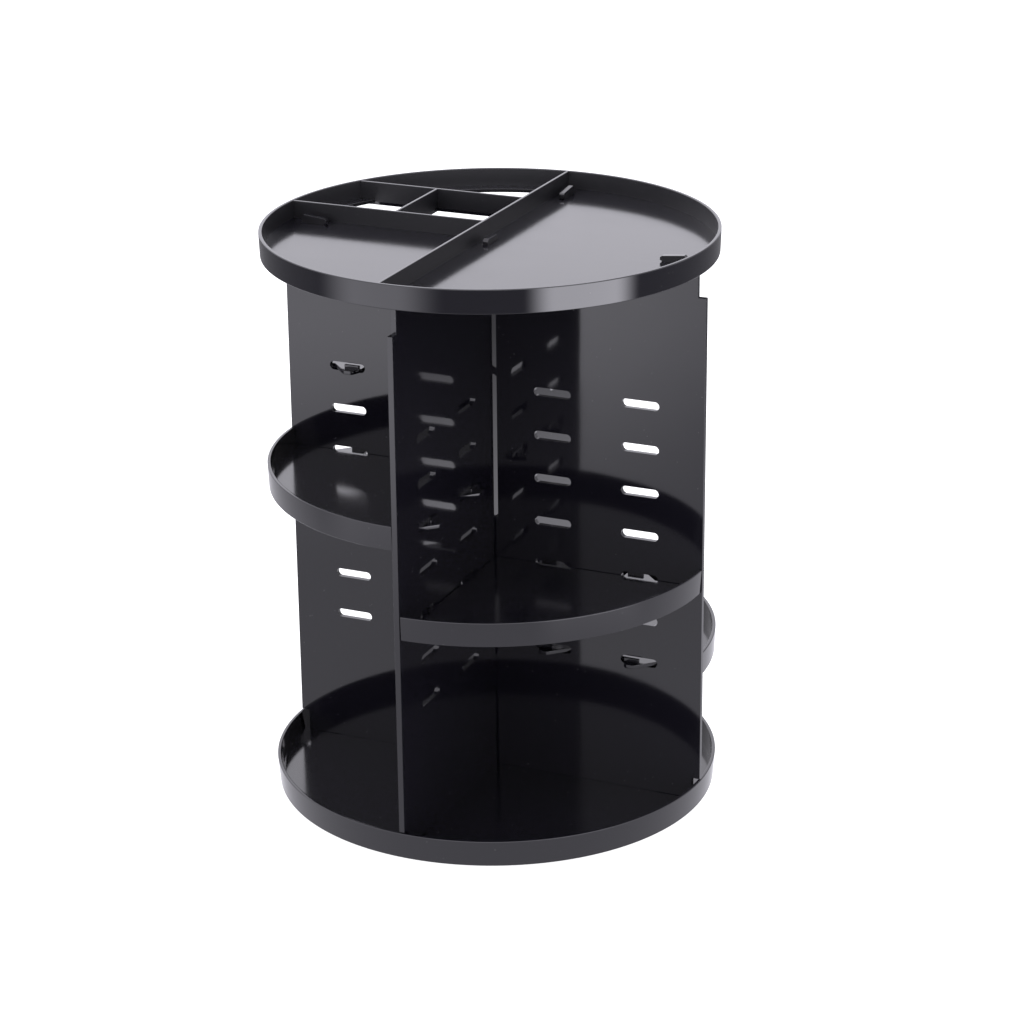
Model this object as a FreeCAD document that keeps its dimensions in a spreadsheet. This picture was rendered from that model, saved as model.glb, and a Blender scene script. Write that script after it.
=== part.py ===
import FreeCAD, Part
import math
import os

import Sketcher

# Rotating vanity organizer: a round tray on a ball turntable carries two crossed panels, a round
# compartment tray lies on top of them, and four quarter trays hook into the panels' slots.
# Millimetres, +Z up, origin on the ground under the axis. Panel A lies in the XZ plane, panel B in
# the YZ plane.

DIMENSIONS = [
    # Turntable
    ("foot_proud", 1.5, "height of a rubber foot below the base plate"),
    ("foot_recess", 1.0, "depth of a foot in the base plate"),
    ("foot_radius", 6.0, "radius of a foot"),
    ("foot_play", 0.2, "gap round a foot in its recess"),
    ("foot_bevel", 0.5, "lower edge bevel of a foot"),
    ("foot_margin", 8.0, "distance of the feet's centres from the base plate's edge"),
    ("foot_count", 6, "number of feet"),
    ("base_radius", 88.0, "radius of the base plate"),
    ("base_thick", 2.4, "thickness of the base plate"),
    ("base_bevel", 0.6, "edge bevel of the base plate"),
    ("race_gap", 1.7, "gap between the base plate and the upper race"),
    ("ball_radius", 2.0, "radius of a bearing ball"),
    ("ball_play", 0.05, "gap between a ball and the flanks of its tracks"),
    ("ball_circle", 60.0, "radius of the circle of balls"),
    ("ball_count", 8, "number of balls"),
    ("track_slope", 0.5, "rise per run of the flanks of a ball track"),
    ("cage_thick", 1.1, "thickness of the ball cage"),
    ("cage_width", 10.0, "radial width of the ball cage"),
    ("cage_play", 0.15, "gap between a ball and its cage hole"),
    ("race_thick", 3.0, "thickness of the upper race"),
    ("race_outer_reach", 6.0, "width of the upper race outside the ball circle"),
    ("race_inner_margin", 1.2, "width of the upper race inside its locating bosses"),
    ("race_screw_gap", 0.6, "gap between the race screws' heads and the ball cage"),
    ("race_screw_count", 4, "number of race screws"),
    ("race_screw_radius", 1.2, "shank radius of a race screw"),
    ("race_screw_bite", 1.2, "depth of a race screw in the floor"),
    ("race_head_radius", 2.4, "head radius of a race screw"),
    ("race_head_height", 1.0, "head height of a race screw"),
    ("race_boss_radius", 3.2, "radius of the floor's locating bosses"),
    ("race_boss_height", 1.4, "height of the floor's locating bosses"),
    ("race_boss_play", 0.1, "gap round and below a locating boss"),
    ("head_crown", 0.7, "flat part of a screw head, as a share of its radius"),
    # Pivot
    ("hub_radius", 8.0, "radius of the bottom tray's hub"),
    ("hub_height", 4.2, "height of the hub below the floor"),
    ("hub_play", 0.05, "running gap between hub and base plate"),
    ("collar_wall", 3.0, "wall thickness of the base plate's collar"),
    ("collar_gap", 0.7, "gap between collar and bottom tray"),
    ("pivot_lift_play", 0.3, "lift play of the carousel on its pivot"),
    ("washer_radius", 12.0, "radius of the pivot washer"),
    ("washer_thick", 1.0, "thickness of the pivot washer"),
    ("washer_play", 0.6, "gap round the washer in its recess"),
    ("pivot_screw_radius", 2.0, "shank radius of the pivot screw"),
    ("pivot_screw_bite", 4.6, "depth of the pivot screw in the hub"),
    ("pivot_head_radius", 4.0, "head radius of the pivot screw"),
    ("pivot_head_height", 1.6, "head height of the pivot screw"),
    # Round trays
    ("floor_thick", 2.0, "floor thickness of the round trays"),
    ("wall_thick", 1.8, "wall thickness of all trays"),
    ("skirt_drop", 1.0, "depth of the rim below a round tray's floor"),
    ("edge_bevel", 0.5, "bevel of the rims' outer top edges"),
    ("bottom_rim_radius", 115.7, "outer radius of the bottom tray's rim at its top"),
    ("bottom_rim_height", 13.8, "height of the bottom tray's rim"),
    ("bottom_rim_draft", 1.1, "how much the bottom tray's rim narrows downwards"),
    ("top_rim_inset", 0.7, "how far the top tray's rim lies inside the bottom tray's"),
    ("top_rim_height", 12.2, "height of the top tray's rim"),
    ("top_rim_draft", 0.45, "how much the top tray's rim narrows downwards"),
    ("divider_thick", 1.5, "thickness of the top tray's dividers"),
    ("divider_offset", 6.0, "distance of the main dividers from the axis"),
    ("divider_back_offset", 55.0, "distance of the rear divider from the axis"),
    ("divider_side_offset", 55.0, "distance of the short divider from the axis"),
    ("open_floor_margin", 7.6, "ledge width round the floor opening at the rim"),
    # Panels
    ("panel_thick", 2.8, "thickness of the panels"),
    ("panel_inset", 0.5, "how far the panels' edges lie inside the bottom tray's rim"),
    ("panel_notch", 4.3, "width of the panels' corner notches"),
    ("panel_rim_gap", 0.6, "gap between the bottom rim and the panels' lower ledges"),
    ("panel_top_notch", 14.2, "height of the panels' upper corner notches"),
    ("row_first", 71.9, "height of the lowest slot row above the bottom tray's floor"),
    ("row_pitch", 23.1, "distance between slot rows"),
    ("row_count", 7, "number of slot rows"),
    ("row_top_margin", 72.7, "panel height above the top slot row"),
    ("slot_inner_place", 33.8, "distance of the inner slots from the axis"),
    ("slot_outer_margin", 33.9, "distance of the outer slots from the panels' edges"),
    ("slot_length", 20.0, "length of a slot"),
    ("slot_height", 4.6, "height of a slot"),
    ("lap_height", 139.6, "height of the crossing's seat above the floor"),
    ("lap_play", 1.7, "gap on each side of a panel in the other's lap slot"),
    ("lap_end_play", 0.3, "vertical gap between the two panels at the crossing"),
    ("nub_place", 78.6, "distance of the grip nubs from the crossing's seat"),
    ("nub_height", 4.6, "height of a grip nub at its foot"),
    ("nub_slope", 1.0, "height of a grip nub's sloping end"),
    ("nub_play", 0.05, "gap between a grip nub and the other panel"),
    ("tab_margin", 5.9, "width of a panel's foot outside its tabs"),
    ("tab_length", 13.0, "length of a tab"),
    ("tab_rise", 3.0, "height of a tab's inner end beyond the floor"),
    ("tab_slope", 1.2, "how much higher a tab's outer end is"),
    ("tab_corner", 1.4, "size of a tab's cut corners"),
    ("tab_root", 2.0, "depth of a tab's root in its panel"),
    ("tab_play", 0.3, "gap round a tab in the floor"),
    ("barb_reach", 1.0, "overhang of a tab's barb"),
    ("barb_gap", 0.4, "gap between a barb's root and the floor"),
    ("barb_land", 1.4, "height of a barb's blunt tip"),
    ("key_length", 12.0, "length of panel B's centre tab"),
    # Quarter trays
    ("tray_inset", 0.7, "how far a quarter tray's rim lies inside the bottom tray's"),
    ("tray_draft", 0.5, "how much a quarter tray's rim narrows downwards"),
    ("tray_floor", 2.0, "floor thickness of a quarter tray"),
    ("tray_rise", 9.4, "height of a quarter tray's rim above its floor"),
    ("tray_skirt", 1.2, "depth of the skirt under a quarter tray's floor"),
    ("tray_gap", 0.4, "gap between a quarter tray and a panel"),
    ("hook_seat_gap", 0.3, "gap below a hook in its slot"),
    ("hook_head_gap", 0.4, "gap above a hook in its slot"),
    ("hook_flank_play", 0.7, "reach of the hook's outer flank past the slot's straight run"),
    ("hook_end_play", 0.6, "reach of the hook's inner side past the slot's straight run"),
    ("hook_reach", 6.3, "length of a hook behind the panel"),
    ("hook_taper", 2.6, "how much the hook's inner flank leans towards the tip"),
    ("hook_lip", 1.6, "thickness of the upturned lip of a hook"),
    ("hook_lip_gap", 0.6, "gap between a hook's lip and the panel"),
    ("hook_lip_length", 9.0, "length of a hook's lip along the panel"),
    ("hook_round", 2.2, "corner rounding of a hook's tip"),
    ("hook_bevel", 0.8, "bevel of a hook's lower edges, to follow the slot's round ends"),
]


class Size:
    """A length together with the sheet formula that it follows."""

    def __init__(self, value, formula):
        self.value = value
        self.formula = formula

    def __add__(self, other):
        other = as_size(other)
        return Size(self.value + other.value, f"({self.formula} + {other.formula})")

    def __sub__(self, other):
        other = as_size(other)
        return Size(self.value - other.value, f"({self.formula} - {other.formula})")

    def __mul__(self, other):
        other = as_size(other)
        return Size(self.value * other.value, f"({self.formula} * {other.formula})")

    def __truediv__(self, other):
        other = as_size(other)
        return Size(self.value / other.value, f"({self.formula} / {other.formula})")

    def __radd__(self, other):
        return as_size(other) + self

    def __rsub__(self, other):
        return as_size(other) - self

    def __rmul__(self, other):
        return as_size(other) * self

    def __rtruediv__(self, other):
        return as_size(other) / self

    def __neg__(self):
        return as_size(0) - self


def as_size(number):
    """Give a plain number as a Size."""
    return number if isinstance(number, Size) else Size(number, repr(number))


def root(size):
    """Give the square root of a Size."""
    return Size(math.sqrt(size.value), f"sqrt({size.formula})")


def whole(size):
    """Give a Size rounded down to a whole number."""
    return Size(math.floor(size.value), f"floor({size.formula})")


def other_leg(long_side, leg):
    """Give the remaining leg of a right triangle, such as a chord's half length in a circle."""
    return root(long_side * long_side - leg * leg)


def turned(radius, degrees):
    """Give the plan point at a radius and an angle, which is a plain number or a Size."""
    angle = as_size(degrees)
    cosine = Size(math.cos(math.radians(angle.value)), f"cos({angle.formula} * 1 deg)")
    sine = Size(math.sin(math.radians(angle.value)), f"sin({angle.formula} * 1 deg)")
    return radius * cosine, radius * sine


def write_sheet(document):
    """Put the driving dimensions in a spreadsheet and give them back as Sizes by name."""
    sheet = document.addObject("Spreadsheet::Sheet", "Dimensions")
    sizes = {}
    for row, (alias, value, meaning) in enumerate(DIMENSIONS, start=1):
        sheet.set(f"A{row}", str(value))
        sheet.setAlias(f"A{row}", alias)
        sheet.set(f"B{row}", meaning)
        sizes[alias] = Size(value, f"Dimensions.{alias}")
    document.recompute()
    return sizes


def add_derived_sizes(d):
    """Add the radii and places that follow from the base plate's and the bottom tray's edges."""
    d["foot_circle"] = d["base_radius"] - d["foot_margin"]
    rim = d["bottom_rim_radius"]
    d["top_rim_radius"] = rim - d["top_rim_inset"]
    d["tray_radius"] = rim - d["tray_inset"]
    d["panel_reach"] = rim - d["panel_inset"]
    d["slot_outer_place"] = d["panel_reach"] - d["slot_outer_margin"]
    d["tab_place"] = d["panel_reach"] - d["panel_notch"] - d["tab_margin"] - d["tab_length"]


def bind(item, property_name, size):
    """Make a property of a document object follow the sheet."""
    item.setExpression(property_name, as_size(size).formula)


def place(item, height, plan_point=None, angle=None):
    """Place a sub-part by its height, and where given by its plan point and turn about Z."""
    bind(item, "Placement.Base.z", height)
    if plan_point is not None:
        bind(item, "Placement.Base.x", plan_point[0])
        bind(item, "Placement.Base.y", plan_point[1])
    if angle is not None:
        item.Placement.Rotation = FreeCAD.Rotation(FreeCAD.Vector(0, 0, 1), angle)


def origin_part(body, role):
    """Find an origin plane or axis of a body by its role."""
    return next(item for item in body.Origin.OriginFeatures if item.Role == role)


class Drawing:
    """A sketch on an origin plane of its own body, drawn from points that follow the sheet."""

    def __init__(self, body, name, role="XY_Plane", height=None):
        self.sketch = body.newObject("Sketcher::SketchObject", name)
        self.sketch.AttachmentSupport = [(origin_part(body, role), "")]
        self.sketch.MapMode = "FlatFace"
        if height is not None:
            bind(self.sketch, "AttachmentOffset.Base.z", height)

    def constrain(self, kind, *arguments, size=None):
        """Add one constraint, and bind its value when it has one."""
        values = arguments if size is None else arguments + (size.value,)
        index = self.sketch.addConstraint(Sketcher.Constraint(kind, *values))
        if size is not None:
            bind(self.sketch, f"Constraints[{index}]", size)

    def fix_point(self, geometry, end, point):
        """Fix an end of a line, or a centre, at a point measured from the sketch's origin."""
        self.constrain("DistanceX", -1, 1, geometry, end, size=as_size(point[0]))
        self.constrain("DistanceY", -1, 1, geometry, end, size=as_size(point[1]))

    def polygon(self, points):
        """Draw a closed outline of straight lines."""
        corners = [FreeCAD.Vector(as_size(x).value, as_size(y).value, 0) for x, y in points]
        lines = []
        for index, corner in enumerate(corners):
            following = corners[(index + 1) % len(corners)]
            lines.append(self.sketch.addGeometry(Part.LineSegment(corner, following), False))
        for index, line in enumerate(lines):
            self.constrain("Coincident", line, 2, lines[(index + 1) % len(lines)], 1)
            self.fix_point(line, 1, points[index])
        return self

    def rectangle(self, left, right, low, high):
        """Draw a rectangle."""
        return self.polygon([(left, low), (right, low), (right, high), (left, high)])

    def sector(self, corner, radius):
        """Draw an arc about the sketch's origin, closed by an upright and a level line.

        The lines run outwards from the corner, which lies inside the arc at x < 0, y > 0.
        """
        corner_x, corner_y = corner
        arc_top = FreeCAD.Vector(corner_x.value, other_leg(radius, corner_x).value, 0)
        arc_side = FreeCAD.Vector(-other_leg(radius, corner_y).value, corner_y.value, 0)
        start = FreeCAD.Vector(corner_x.value, corner_y.value, 0)
        ring = Part.Circle(FreeCAD.Vector(0, 0, 0), FreeCAD.Vector(0, 0, 1), radius.value)
        angles = [math.atan2(point.y, point.x) for point in (arc_top, arc_side)]
        upright = self.sketch.addGeometry(Part.LineSegment(start, arc_top), False)
        arc = self.sketch.addGeometry(Part.ArcOfCircle(ring, angles[0], angles[1]), False)
        level = self.sketch.addGeometry(Part.LineSegment(arc_side, start), False)
        self.constrain("Coincident", upright, 2, arc, 1)
        self.constrain("Coincident", arc, 2, level, 1)
        self.constrain("Coincident", level, 2, upright, 1)
        self.constrain("Coincident", arc, 3, -1, 1)
        self.constrain("Vertical", upright)
        self.constrain("Horizontal", level)
        self.constrain("Radius", arc, size=radius)
        self.fix_point(upright, 1, corner)
        return self

    def circle(self, centre, radius):
        """Draw a circle."""
        middle = FreeCAD.Vector(as_size(centre[0]).value, as_size(centre[1]).value, 0)
        ring = Part.Circle(middle, FreeCAD.Vector(0, 0, 1), radius.value)
        index = self.sketch.addGeometry(ring, False)
        self.fix_point(index, 3, centre)
        self.constrain("Radius", index, size=radius)
        return self

    def slot(self, centre, half_run, radius):
        """Draw a level slot with full-round ends, half_run from its centre to an end's centre."""
        left = centre[0] - half_run
        right = centre[0] + half_run
        level = as_size(centre[1])
        up = FreeCAD.Vector(0, radius.value, 0)
        left_middle = FreeCAD.Vector(left.value, level.value, 0)
        right_middle = FreeCAD.Vector(right.value, level.value, 0)
        axis = FreeCAD.Vector(0, 0, 1)
        left_ring = Part.Circle(left_middle, axis, radius.value)
        right_ring = Part.Circle(right_middle, axis, radius.value)
        quarter = math.pi / 2
        left_arc = self.sketch.addGeometry(Part.ArcOfCircle(left_ring, quarter, 3 * quarter), False)
        right_arc = self.sketch.addGeometry(Part.ArcOfCircle(right_ring, -quarter, quarter), False)
        low_line = Part.LineSegment(left_middle - up, right_middle - up)
        high_line = Part.LineSegment(right_middle + up, left_middle + up)
        low = self.sketch.addGeometry(low_line, False)
        high = self.sketch.addGeometry(high_line, False)
        self.constrain("Tangent", left_arc, 2, low, 1)
        self.constrain("Tangent", low, 2, right_arc, 1)
        self.constrain("Tangent", right_arc, 2, high, 1)
        self.constrain("Tangent", high, 2, left_arc, 1)
        self.constrain("Equal", left_arc, right_arc)
        self.constrain("Radius", left_arc, size=radius)
        self.fix_point(left_arc, 3, (left, level))
        self.fix_point(right_arc, 3, (right, level))
        return self


def new_body(document, name):
    """Start a sub-part as a PartDesign body."""
    body = document.addObject("PartDesign::Body", name)
    body.Label = name
    return body


def pad(body, name, drawing, length, centred=False):
    """Add material along the sketch's normal."""
    feature = body.newObject("PartDesign::Pad", name)
    feature.Profile = drawing.sketch
    bind(feature, "Length", length)
    feature.Midplane = centred
    body.Document.recompute()
    return feature


def pocket(body, name, drawing, depth, downwards=True, centred=False):
    """Remove material from the sketch downwards or upwards, and check that something went."""
    before = body.Shape.Volume
    feature = body.newObject("PartDesign::Pocket", name)
    feature.Profile = drawing.sketch
    bind(feature, "Length", depth)
    feature.Reversed = not downwards
    feature.Midplane = centred
    body.Document.recompute()
    if body.Shape.Volume >= before:
        raise RuntimeError(f"{name} removes nothing from {body.Label}")
    return feature


def revolve(body, name, drawing, degrees=360.0):
    """Turn a profile drawn in the XZ plane about the Z axis."""
    feature = body.newObject("PartDesign::Revolution", name)
    feature.Profile = drawing.sketch
    feature.ReferenceAxis = (drawing.sketch, ["V_Axis"])
    feature.Angle = degrees
    body.Document.recompute()
    return feature


def groove(body, name, drawing):
    """Turn a ball track into a body, and check that something went."""
    before = body.Shape.Volume
    feature = body.newObject("PartDesign::Groove", name)
    feature.Profile = drawing.sketch
    feature.ReferenceAxis = (drawing.sketch, ["V_Axis"])
    feature.Angle = 360.0
    body.Document.recompute()
    if body.Shape.Volume >= before:
        raise RuntimeError(f"{name} removes nothing from {body.Label}")
    return feature


def repeat_round(body, name, features, count):
    """Repeat features evenly about the Z axis."""
    pattern = body.newObject("PartDesign::PolarPattern", name)
    pattern.Originals = features
    pattern.Axis = (origin_part(body, "Z_Axis"), [""])
    pattern.Angle = 360.0
    bind(pattern, "Occurrences", count)
    body.Tip = pattern
    body.Document.recompute()
    return pattern


def repeat_up(body, name, features, pitch, count):
    """Repeat features in rows along the Z axis."""
    pattern = body.newObject("PartDesign::LinearPattern", name)
    pattern.Originals = features
    pattern.Direction = (origin_part(body, "Z_Axis"), [""])
    bind(pattern, "Length", pitch * (count - 1))
    bind(pattern, "Occurrences", count)
    body.Tip = pattern
    body.Document.recompute()
    return pattern


def dress_edges(body, name, kind, property_name, size, wanted):
    """Add a feature on the edges of a body for which wanted(edge) holds."""
    base = body.Tip
    edges = enumerate(base.Shape.Edges, start=1)
    names = [f"Edge{number}" for number, edge in edges if wanted(edge)]
    if not names:
        raise RuntimeError(f"{name} finds no edge on {body.Label}")
    feature = body.newObject(kind, name)
    feature.Base = (base, names)
    bind(feature, property_name, size)
    body.Document.recompute()
    return feature


def round_edges(body, name, radius, wanted):
    """Round the edges of a body for which wanted(edge) holds."""
    return dress_edges(body, name, "PartDesign::Fillet", "Radius", radius, wanted)


def bevel_edges(body, name, size, wanted):
    """Bevel the edges of a body for which wanted(edge) holds."""
    return dress_edges(body, name, "PartDesign::Chamfer", "Size", size, wanted)


def is_ring(edge, radius, height):
    """Tell whether an edge is a level arc about the Z axis at this radius and height."""
    if not isinstance(edge.Curve, Part.Circle):
        return False
    centre = edge.Curve.Center
    same_radius = math.isclose(edge.Curve.Radius, radius.value, abs_tol=1e-4)
    same_height = math.isclose(centre.z, as_size(height).value, abs_tol=1e-4)
    return same_radius and same_height and math.hypot(centre.x, centre.y) < 1e-4


def is_beyond(edge, line, height):
    """Tell whether an edge is level at this height and lies wholly past a straight tray side."""
    box = edge.BoundBox
    level = math.isclose(box.ZMin, height.value, abs_tol=1e-4) and box.ZLength < 1e-4
    past_side = box.YMax < line.value + 1e-4 and box.YMin < line.value - 1e-3
    past_other_side = box.XMax < line.value + 1e-4 and box.XMin < line.value - 1e-3
    return level and (past_side or past_other_side)


def is_upright(edge, points):
    """Tell whether an edge stands upright on one of the plan points."""
    box = edge.BoundBox
    if box.XLength > 1e-4 or box.YLength > 1e-4:
        return False
    return any(
        math.isclose(box.XMin, x.value, abs_tol=1e-4) and math.isclose(box.YMin, y.value, abs_tol=1e-4)
        for x, y in points
    )


# Turntable


def cut_ball_track(body, d, ball_height, direction):
    """Cut a V-shaped track whose flanks hold the balls; it deepens in the given direction."""
    slope = d["track_slope"]
    depth = (d["ball_radius"] + d["ball_play"]) * root(1 + slope * slope)
    half_width = depth / slope
    circle = d["ball_circle"]
    section = Drawing(body, "track_section", "XZ_Plane").polygon([
        (circle - half_width, ball_height),
        (circle, ball_height + depth * direction),
        (circle + half_width, ball_height),
    ])
    groove(body, "ball_track", section)


def make_base_plate(document, d):
    """Make the disc that stays on the ground: collar, ball track and recesses for the feet."""
    body = new_body(document, "base_plate")
    hole = d["hub_radius"] + d["hub_play"]
    recess_radius = d["washer_radius"] + d["washer_play"]
    collar_radius = recess_radius + d["collar_wall"]
    floor_height = d["base_thick"] + d["race_gap"] + d["race_thick"]
    collar_top = floor_height - d["collar_gap"]
    washer_top = floor_height - d["hub_height"]
    ceiling = washer_top + d["pivot_lift_play"]
    bevel = d["base_bevel"]
    profile = Drawing(body, "base_profile", "XZ_Plane").polygon([
        (recess_radius, 0),
        (d["base_radius"] - bevel, 0),
        (d["base_radius"], bevel),
        (d["base_radius"], d["base_thick"] - bevel),
        (d["base_radius"] - bevel, d["base_thick"]),
        (collar_radius, d["base_thick"]),
        (collar_radius, collar_top - bevel),
        (collar_radius - bevel, collar_top),
        (hole, collar_top),
        (hole, ceiling),
        (recess_radius, ceiling),
    ])
    revolve(body, "base_disc", profile)
    cut_ball_track(body, d, d["base_thick"] + d["race_gap"] / 2, direction=-1)
    recess = Drawing(body, "foot_recess_outline")
    recess.circle((d["foot_circle"], 0), d["foot_radius"] + d["foot_play"])
    foot_recess = pocket(body, "foot_recess_cut", recess, d["foot_recess"], downwards=False)
    repeat_round(body, "foot_recesses", [foot_recess], d["foot_count"])
    place(body, d["foot_proud"])
    return [body]


def make_feet(document, d):
    """Make the rubber feet, each a disc with a bevelled lower edge."""
    feet = []
    count = int(d["foot_count"].value)
    for number in range(1, count + 1):
        foot = new_body(document, f"foot_pad_{number}")
        outline = Drawing(foot, "foot_outline").circle((0, 0), d["foot_radius"])
        pad(foot, "foot_disc", outline, d["foot_proud"] + d["foot_recess"])
        bevel_edges(foot, "foot_edge", d["foot_bevel"], lambda edge: is_ring(edge, d["foot_radius"], 0))
        place(foot, 0, turned(d["foot_circle"], (number - 1) * 360 / d["foot_count"]))
        feet.append(foot)
    return feet


def make_ball_cage(document, d, ball_level):
    """Make the flat ring that keeps the balls apart."""
    cage = new_body(document, "ball_cage")
    ring = Drawing(cage, "cage_outline")
    ring.circle((0, 0), d["ball_circle"] + d["cage_width"] / 2)
    ring.circle((0, 0), d["ball_circle"] - d["cage_width"] / 2)
    pad(cage, "cage_ring", ring, d["cage_thick"], centred=True)
    hole = Drawing(cage, "ball_hole_outline")
    hole.circle((d["ball_circle"], 0), d["ball_radius"] + d["cage_play"])
    ball_hole = pocket(cage, "ball_hole", hole, d["cage_thick"] * 2, centred=True)
    repeat_round(cage, "ball_holes", [ball_hole], d["ball_count"])
    place(cage, ball_level)
    return [cage]


def make_balls(document, d, ball_level):
    """Make the bearing balls, one group of separate solids."""
    balls = []
    count = int(d["ball_count"].value)
    for number in range(count):
        ball = document.addObject("Part::Sphere", f"ball_{number + 1}")
        bind(ball, "Radius", d["ball_radius"])
        place(ball, 0, turned(d["ball_circle"], number * 360 / d["ball_count"]))
        balls.append(ball)
    group = document.addObject("Part::Compound", "bearing_balls")
    group.Label = "bearing_balls"
    group.Links = balls
    place(group, ball_level)
    return [group]


def race_screw_circle(d):
    """Give the radius of the circle of race screws, whose heads clear the ball cage."""
    return d["ball_circle"] - d["cage_width"] / 2 - d["race_screw_gap"] - d["race_head_radius"]


def make_upper_race(document, d, race_level):
    """Make the ring under the bottom tray that runs on the balls."""
    race = new_body(document, "upper_race")
    screw_circle = race_screw_circle(d)
    boss_seat_radius = d["race_boss_radius"] + d["race_boss_play"]
    inner = screw_circle - boss_seat_radius - d["race_inner_margin"]
    outer = d["ball_circle"] + d["race_outer_reach"]
    profile = Drawing(race, "race_profile", "XZ_Plane")
    revolve(race, "race_ring", profile.rectangle(inner, outer, 0, d["race_thick"]))
    cut_ball_track(race, d, -d["race_gap"] / 2, direction=1)
    screw_place = (screw_circle, 0)
    seat_depth = d["race_boss_height"] + d["race_boss_play"]
    seat = Drawing(race, "boss_seat_outline", height=d["race_thick"])
    seat.circle(screw_place, boss_seat_radius)
    boss_seat = pocket(race, "boss_seat", seat, seat_depth)
    hole = Drawing(race, "screw_hole_outline", height=d["race_thick"])
    hole.circle(screw_place, d["race_screw_radius"])
    screw_hole = pocket(race, "screw_hole", hole, d["race_thick"])
    repeat_round(race, "screw_places", [boss_seat, screw_hole], d["race_screw_count"])
    place(race, race_level)
    return [race]


def turn_screw(screw, d, head_radius, head_height, shank_radius, shank_length):
    """Turn a pan-head screw that points up, its head below z = 0."""
    profile = Drawing(screw, "screw_profile", "XZ_Plane").polygon([
        (0, -head_height),
        (head_radius * d["head_crown"], -head_height),
        (head_radius, -head_height / 2),
        (head_radius, 0),
        (shank_radius, 0),
        (shank_radius, shank_length),
        (0, shank_length),
    ])
    revolve(screw, "turned_screw", profile)


def make_race_screws(document, d, race_level):
    """Make the pan-head screws that hold the upper race to the bottom tray."""
    screws = []
    count = int(d["race_screw_count"].value)
    for number in range(1, count + 1):
        screw = new_body(document, f"race_screw_{number}")
        length = d["race_thick"] + d["race_screw_bite"]
        turn_screw(screw, d, d["race_head_radius"], d["race_head_height"], d["race_screw_radius"], length)
        angle = (number - 1) * 360 / d["race_screw_count"]
        place(screw, race_level, turned(race_screw_circle(d), angle))
        screws.append(screw)
    return screws


def make_pivot(document, d, hub_end):
    """Make the washer and the screw that keep the carousel on the base plate."""
    washer = new_body(document, "pivot_washer")
    ring = Drawing(washer, "washer_outline")
    ring.circle((0, 0), d["washer_radius"])
    ring.circle((0, 0), d["pivot_screw_radius"])
    pad(washer, "washer_disc", ring, d["washer_thick"])
    place(washer, hub_end - d["washer_thick"])
    screw = new_body(document, "pivot_screw")
    length = d["washer_thick"] + d["pivot_screw_bite"]
    turn_screw(screw, d, d["pivot_head_radius"], d["pivot_head_height"], d["pivot_screw_radius"], length)
    place(screw, hub_end - d["washer_thick"])
    return [washer, screw]


# Round trays


def dish_profile(body, d, rim_radius, rim_height, draft):
    """Draw a round tray's section: floor from z = 0 up, drafted rim, short skirt below."""
    low = -d["skirt_drop"]
    high = low + rim_height
    wall = d["wall_thick"]
    slope = draft / rim_height
    skirt_top_radius = rim_radius - draft + slope * d["skirt_drop"]
    floor_radius = rim_radius - draft + slope * (d["skirt_drop"] + d["floor_thick"])
    return Drawing(body, "dish_profile", "XZ_Plane").polygon([
        (0, 0),
        (skirt_top_radius - wall, 0),
        (rim_radius - draft - wall, low),
        (rim_radius - draft, low),
        (rim_radius, high),
        (rim_radius - wall, high),
        (floor_radius - wall, d["floor_thick"]),
        (0, d["floor_thick"]),
    ])


def tab_slots(d, places, key_slot):
    """Give the rectangles (left, right, low, high) through a floor for the panels' tabs."""
    near = d["tab_place"] - d["tab_play"]
    far = d["tab_place"] + d["tab_length"] + d["tab_play"]
    side = d["panel_thick"] / 2 + d["tab_play"]
    slots = {
        "right": (near, far, -side, side),
        "left": (-far, -near, -side, side),
        "rear": (-side, side, near, far),
        "front": (-side, side, -far, -near),
    }
    chosen = [slots[name] for name in places]
    if key_slot:
        half_key = d["key_length"] / 2 + d["tab_play"]
        chosen.append((-side, side, -half_key, half_key))
    return chosen


def make_bottom_tray(document, d, tray_level):
    """Make the rotating tray that carries everything above it."""
    body = new_body(document, "bottom_tray")
    rim_radius = d["bottom_rim_radius"]
    rim_top = d["bottom_rim_height"] - d["skirt_drop"]
    profile = dish_profile(body, d, rim_radius, d["bottom_rim_height"], d["bottom_rim_draft"])
    revolve(body, "tray_dish", profile)
    bevel_edges(body, "rim_edge", d["edge_bevel"], lambda edge: is_ring(edge, rim_radius, rim_top))
    hub = Drawing(body, "hub_outline", height=-d["hub_height"]).circle((0, 0), d["hub_radius"])
    pad(body, "hub", hub, d["hub_height"])
    bore = Drawing(body, "pivot_bore_outline", height=-d["hub_height"])
    bore.circle((0, 0), d["pivot_screw_radius"])
    pocket(body, "pivot_bore", bore, d["pivot_screw_bite"], downwards=False)
    screw_place = (race_screw_circle(d), 0)
    boss = Drawing(body, "race_boss_outline", height=-d["race_boss_height"])
    boss.circle(screw_place, d["race_boss_radius"])
    race_boss = pad(body, "race_boss", boss, d["race_boss_height"])
    hole = Drawing(body, "race_bore_outline", height=-d["race_boss_height"])
    hole.circle(screw_place, d["race_screw_radius"])
    bore_depth = d["race_boss_height"] + d["race_screw_bite"]
    race_bore = pocket(body, "race_bore", hole, bore_depth, downwards=False)
    repeat_round(body, "race_bosses", [race_boss, race_bore], d["race_screw_count"])
    slots = Drawing(body, "tab_slot_outlines", height=d["floor_thick"])
    for slot in tab_slots(d, ("right", "left", "rear", "front"), key_slot=False):
        slots.rectangle(*slot)
    pocket(body, "tab_slots", slots, d["floor_thick"])
    place(body, tray_level)
    return [body]


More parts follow.
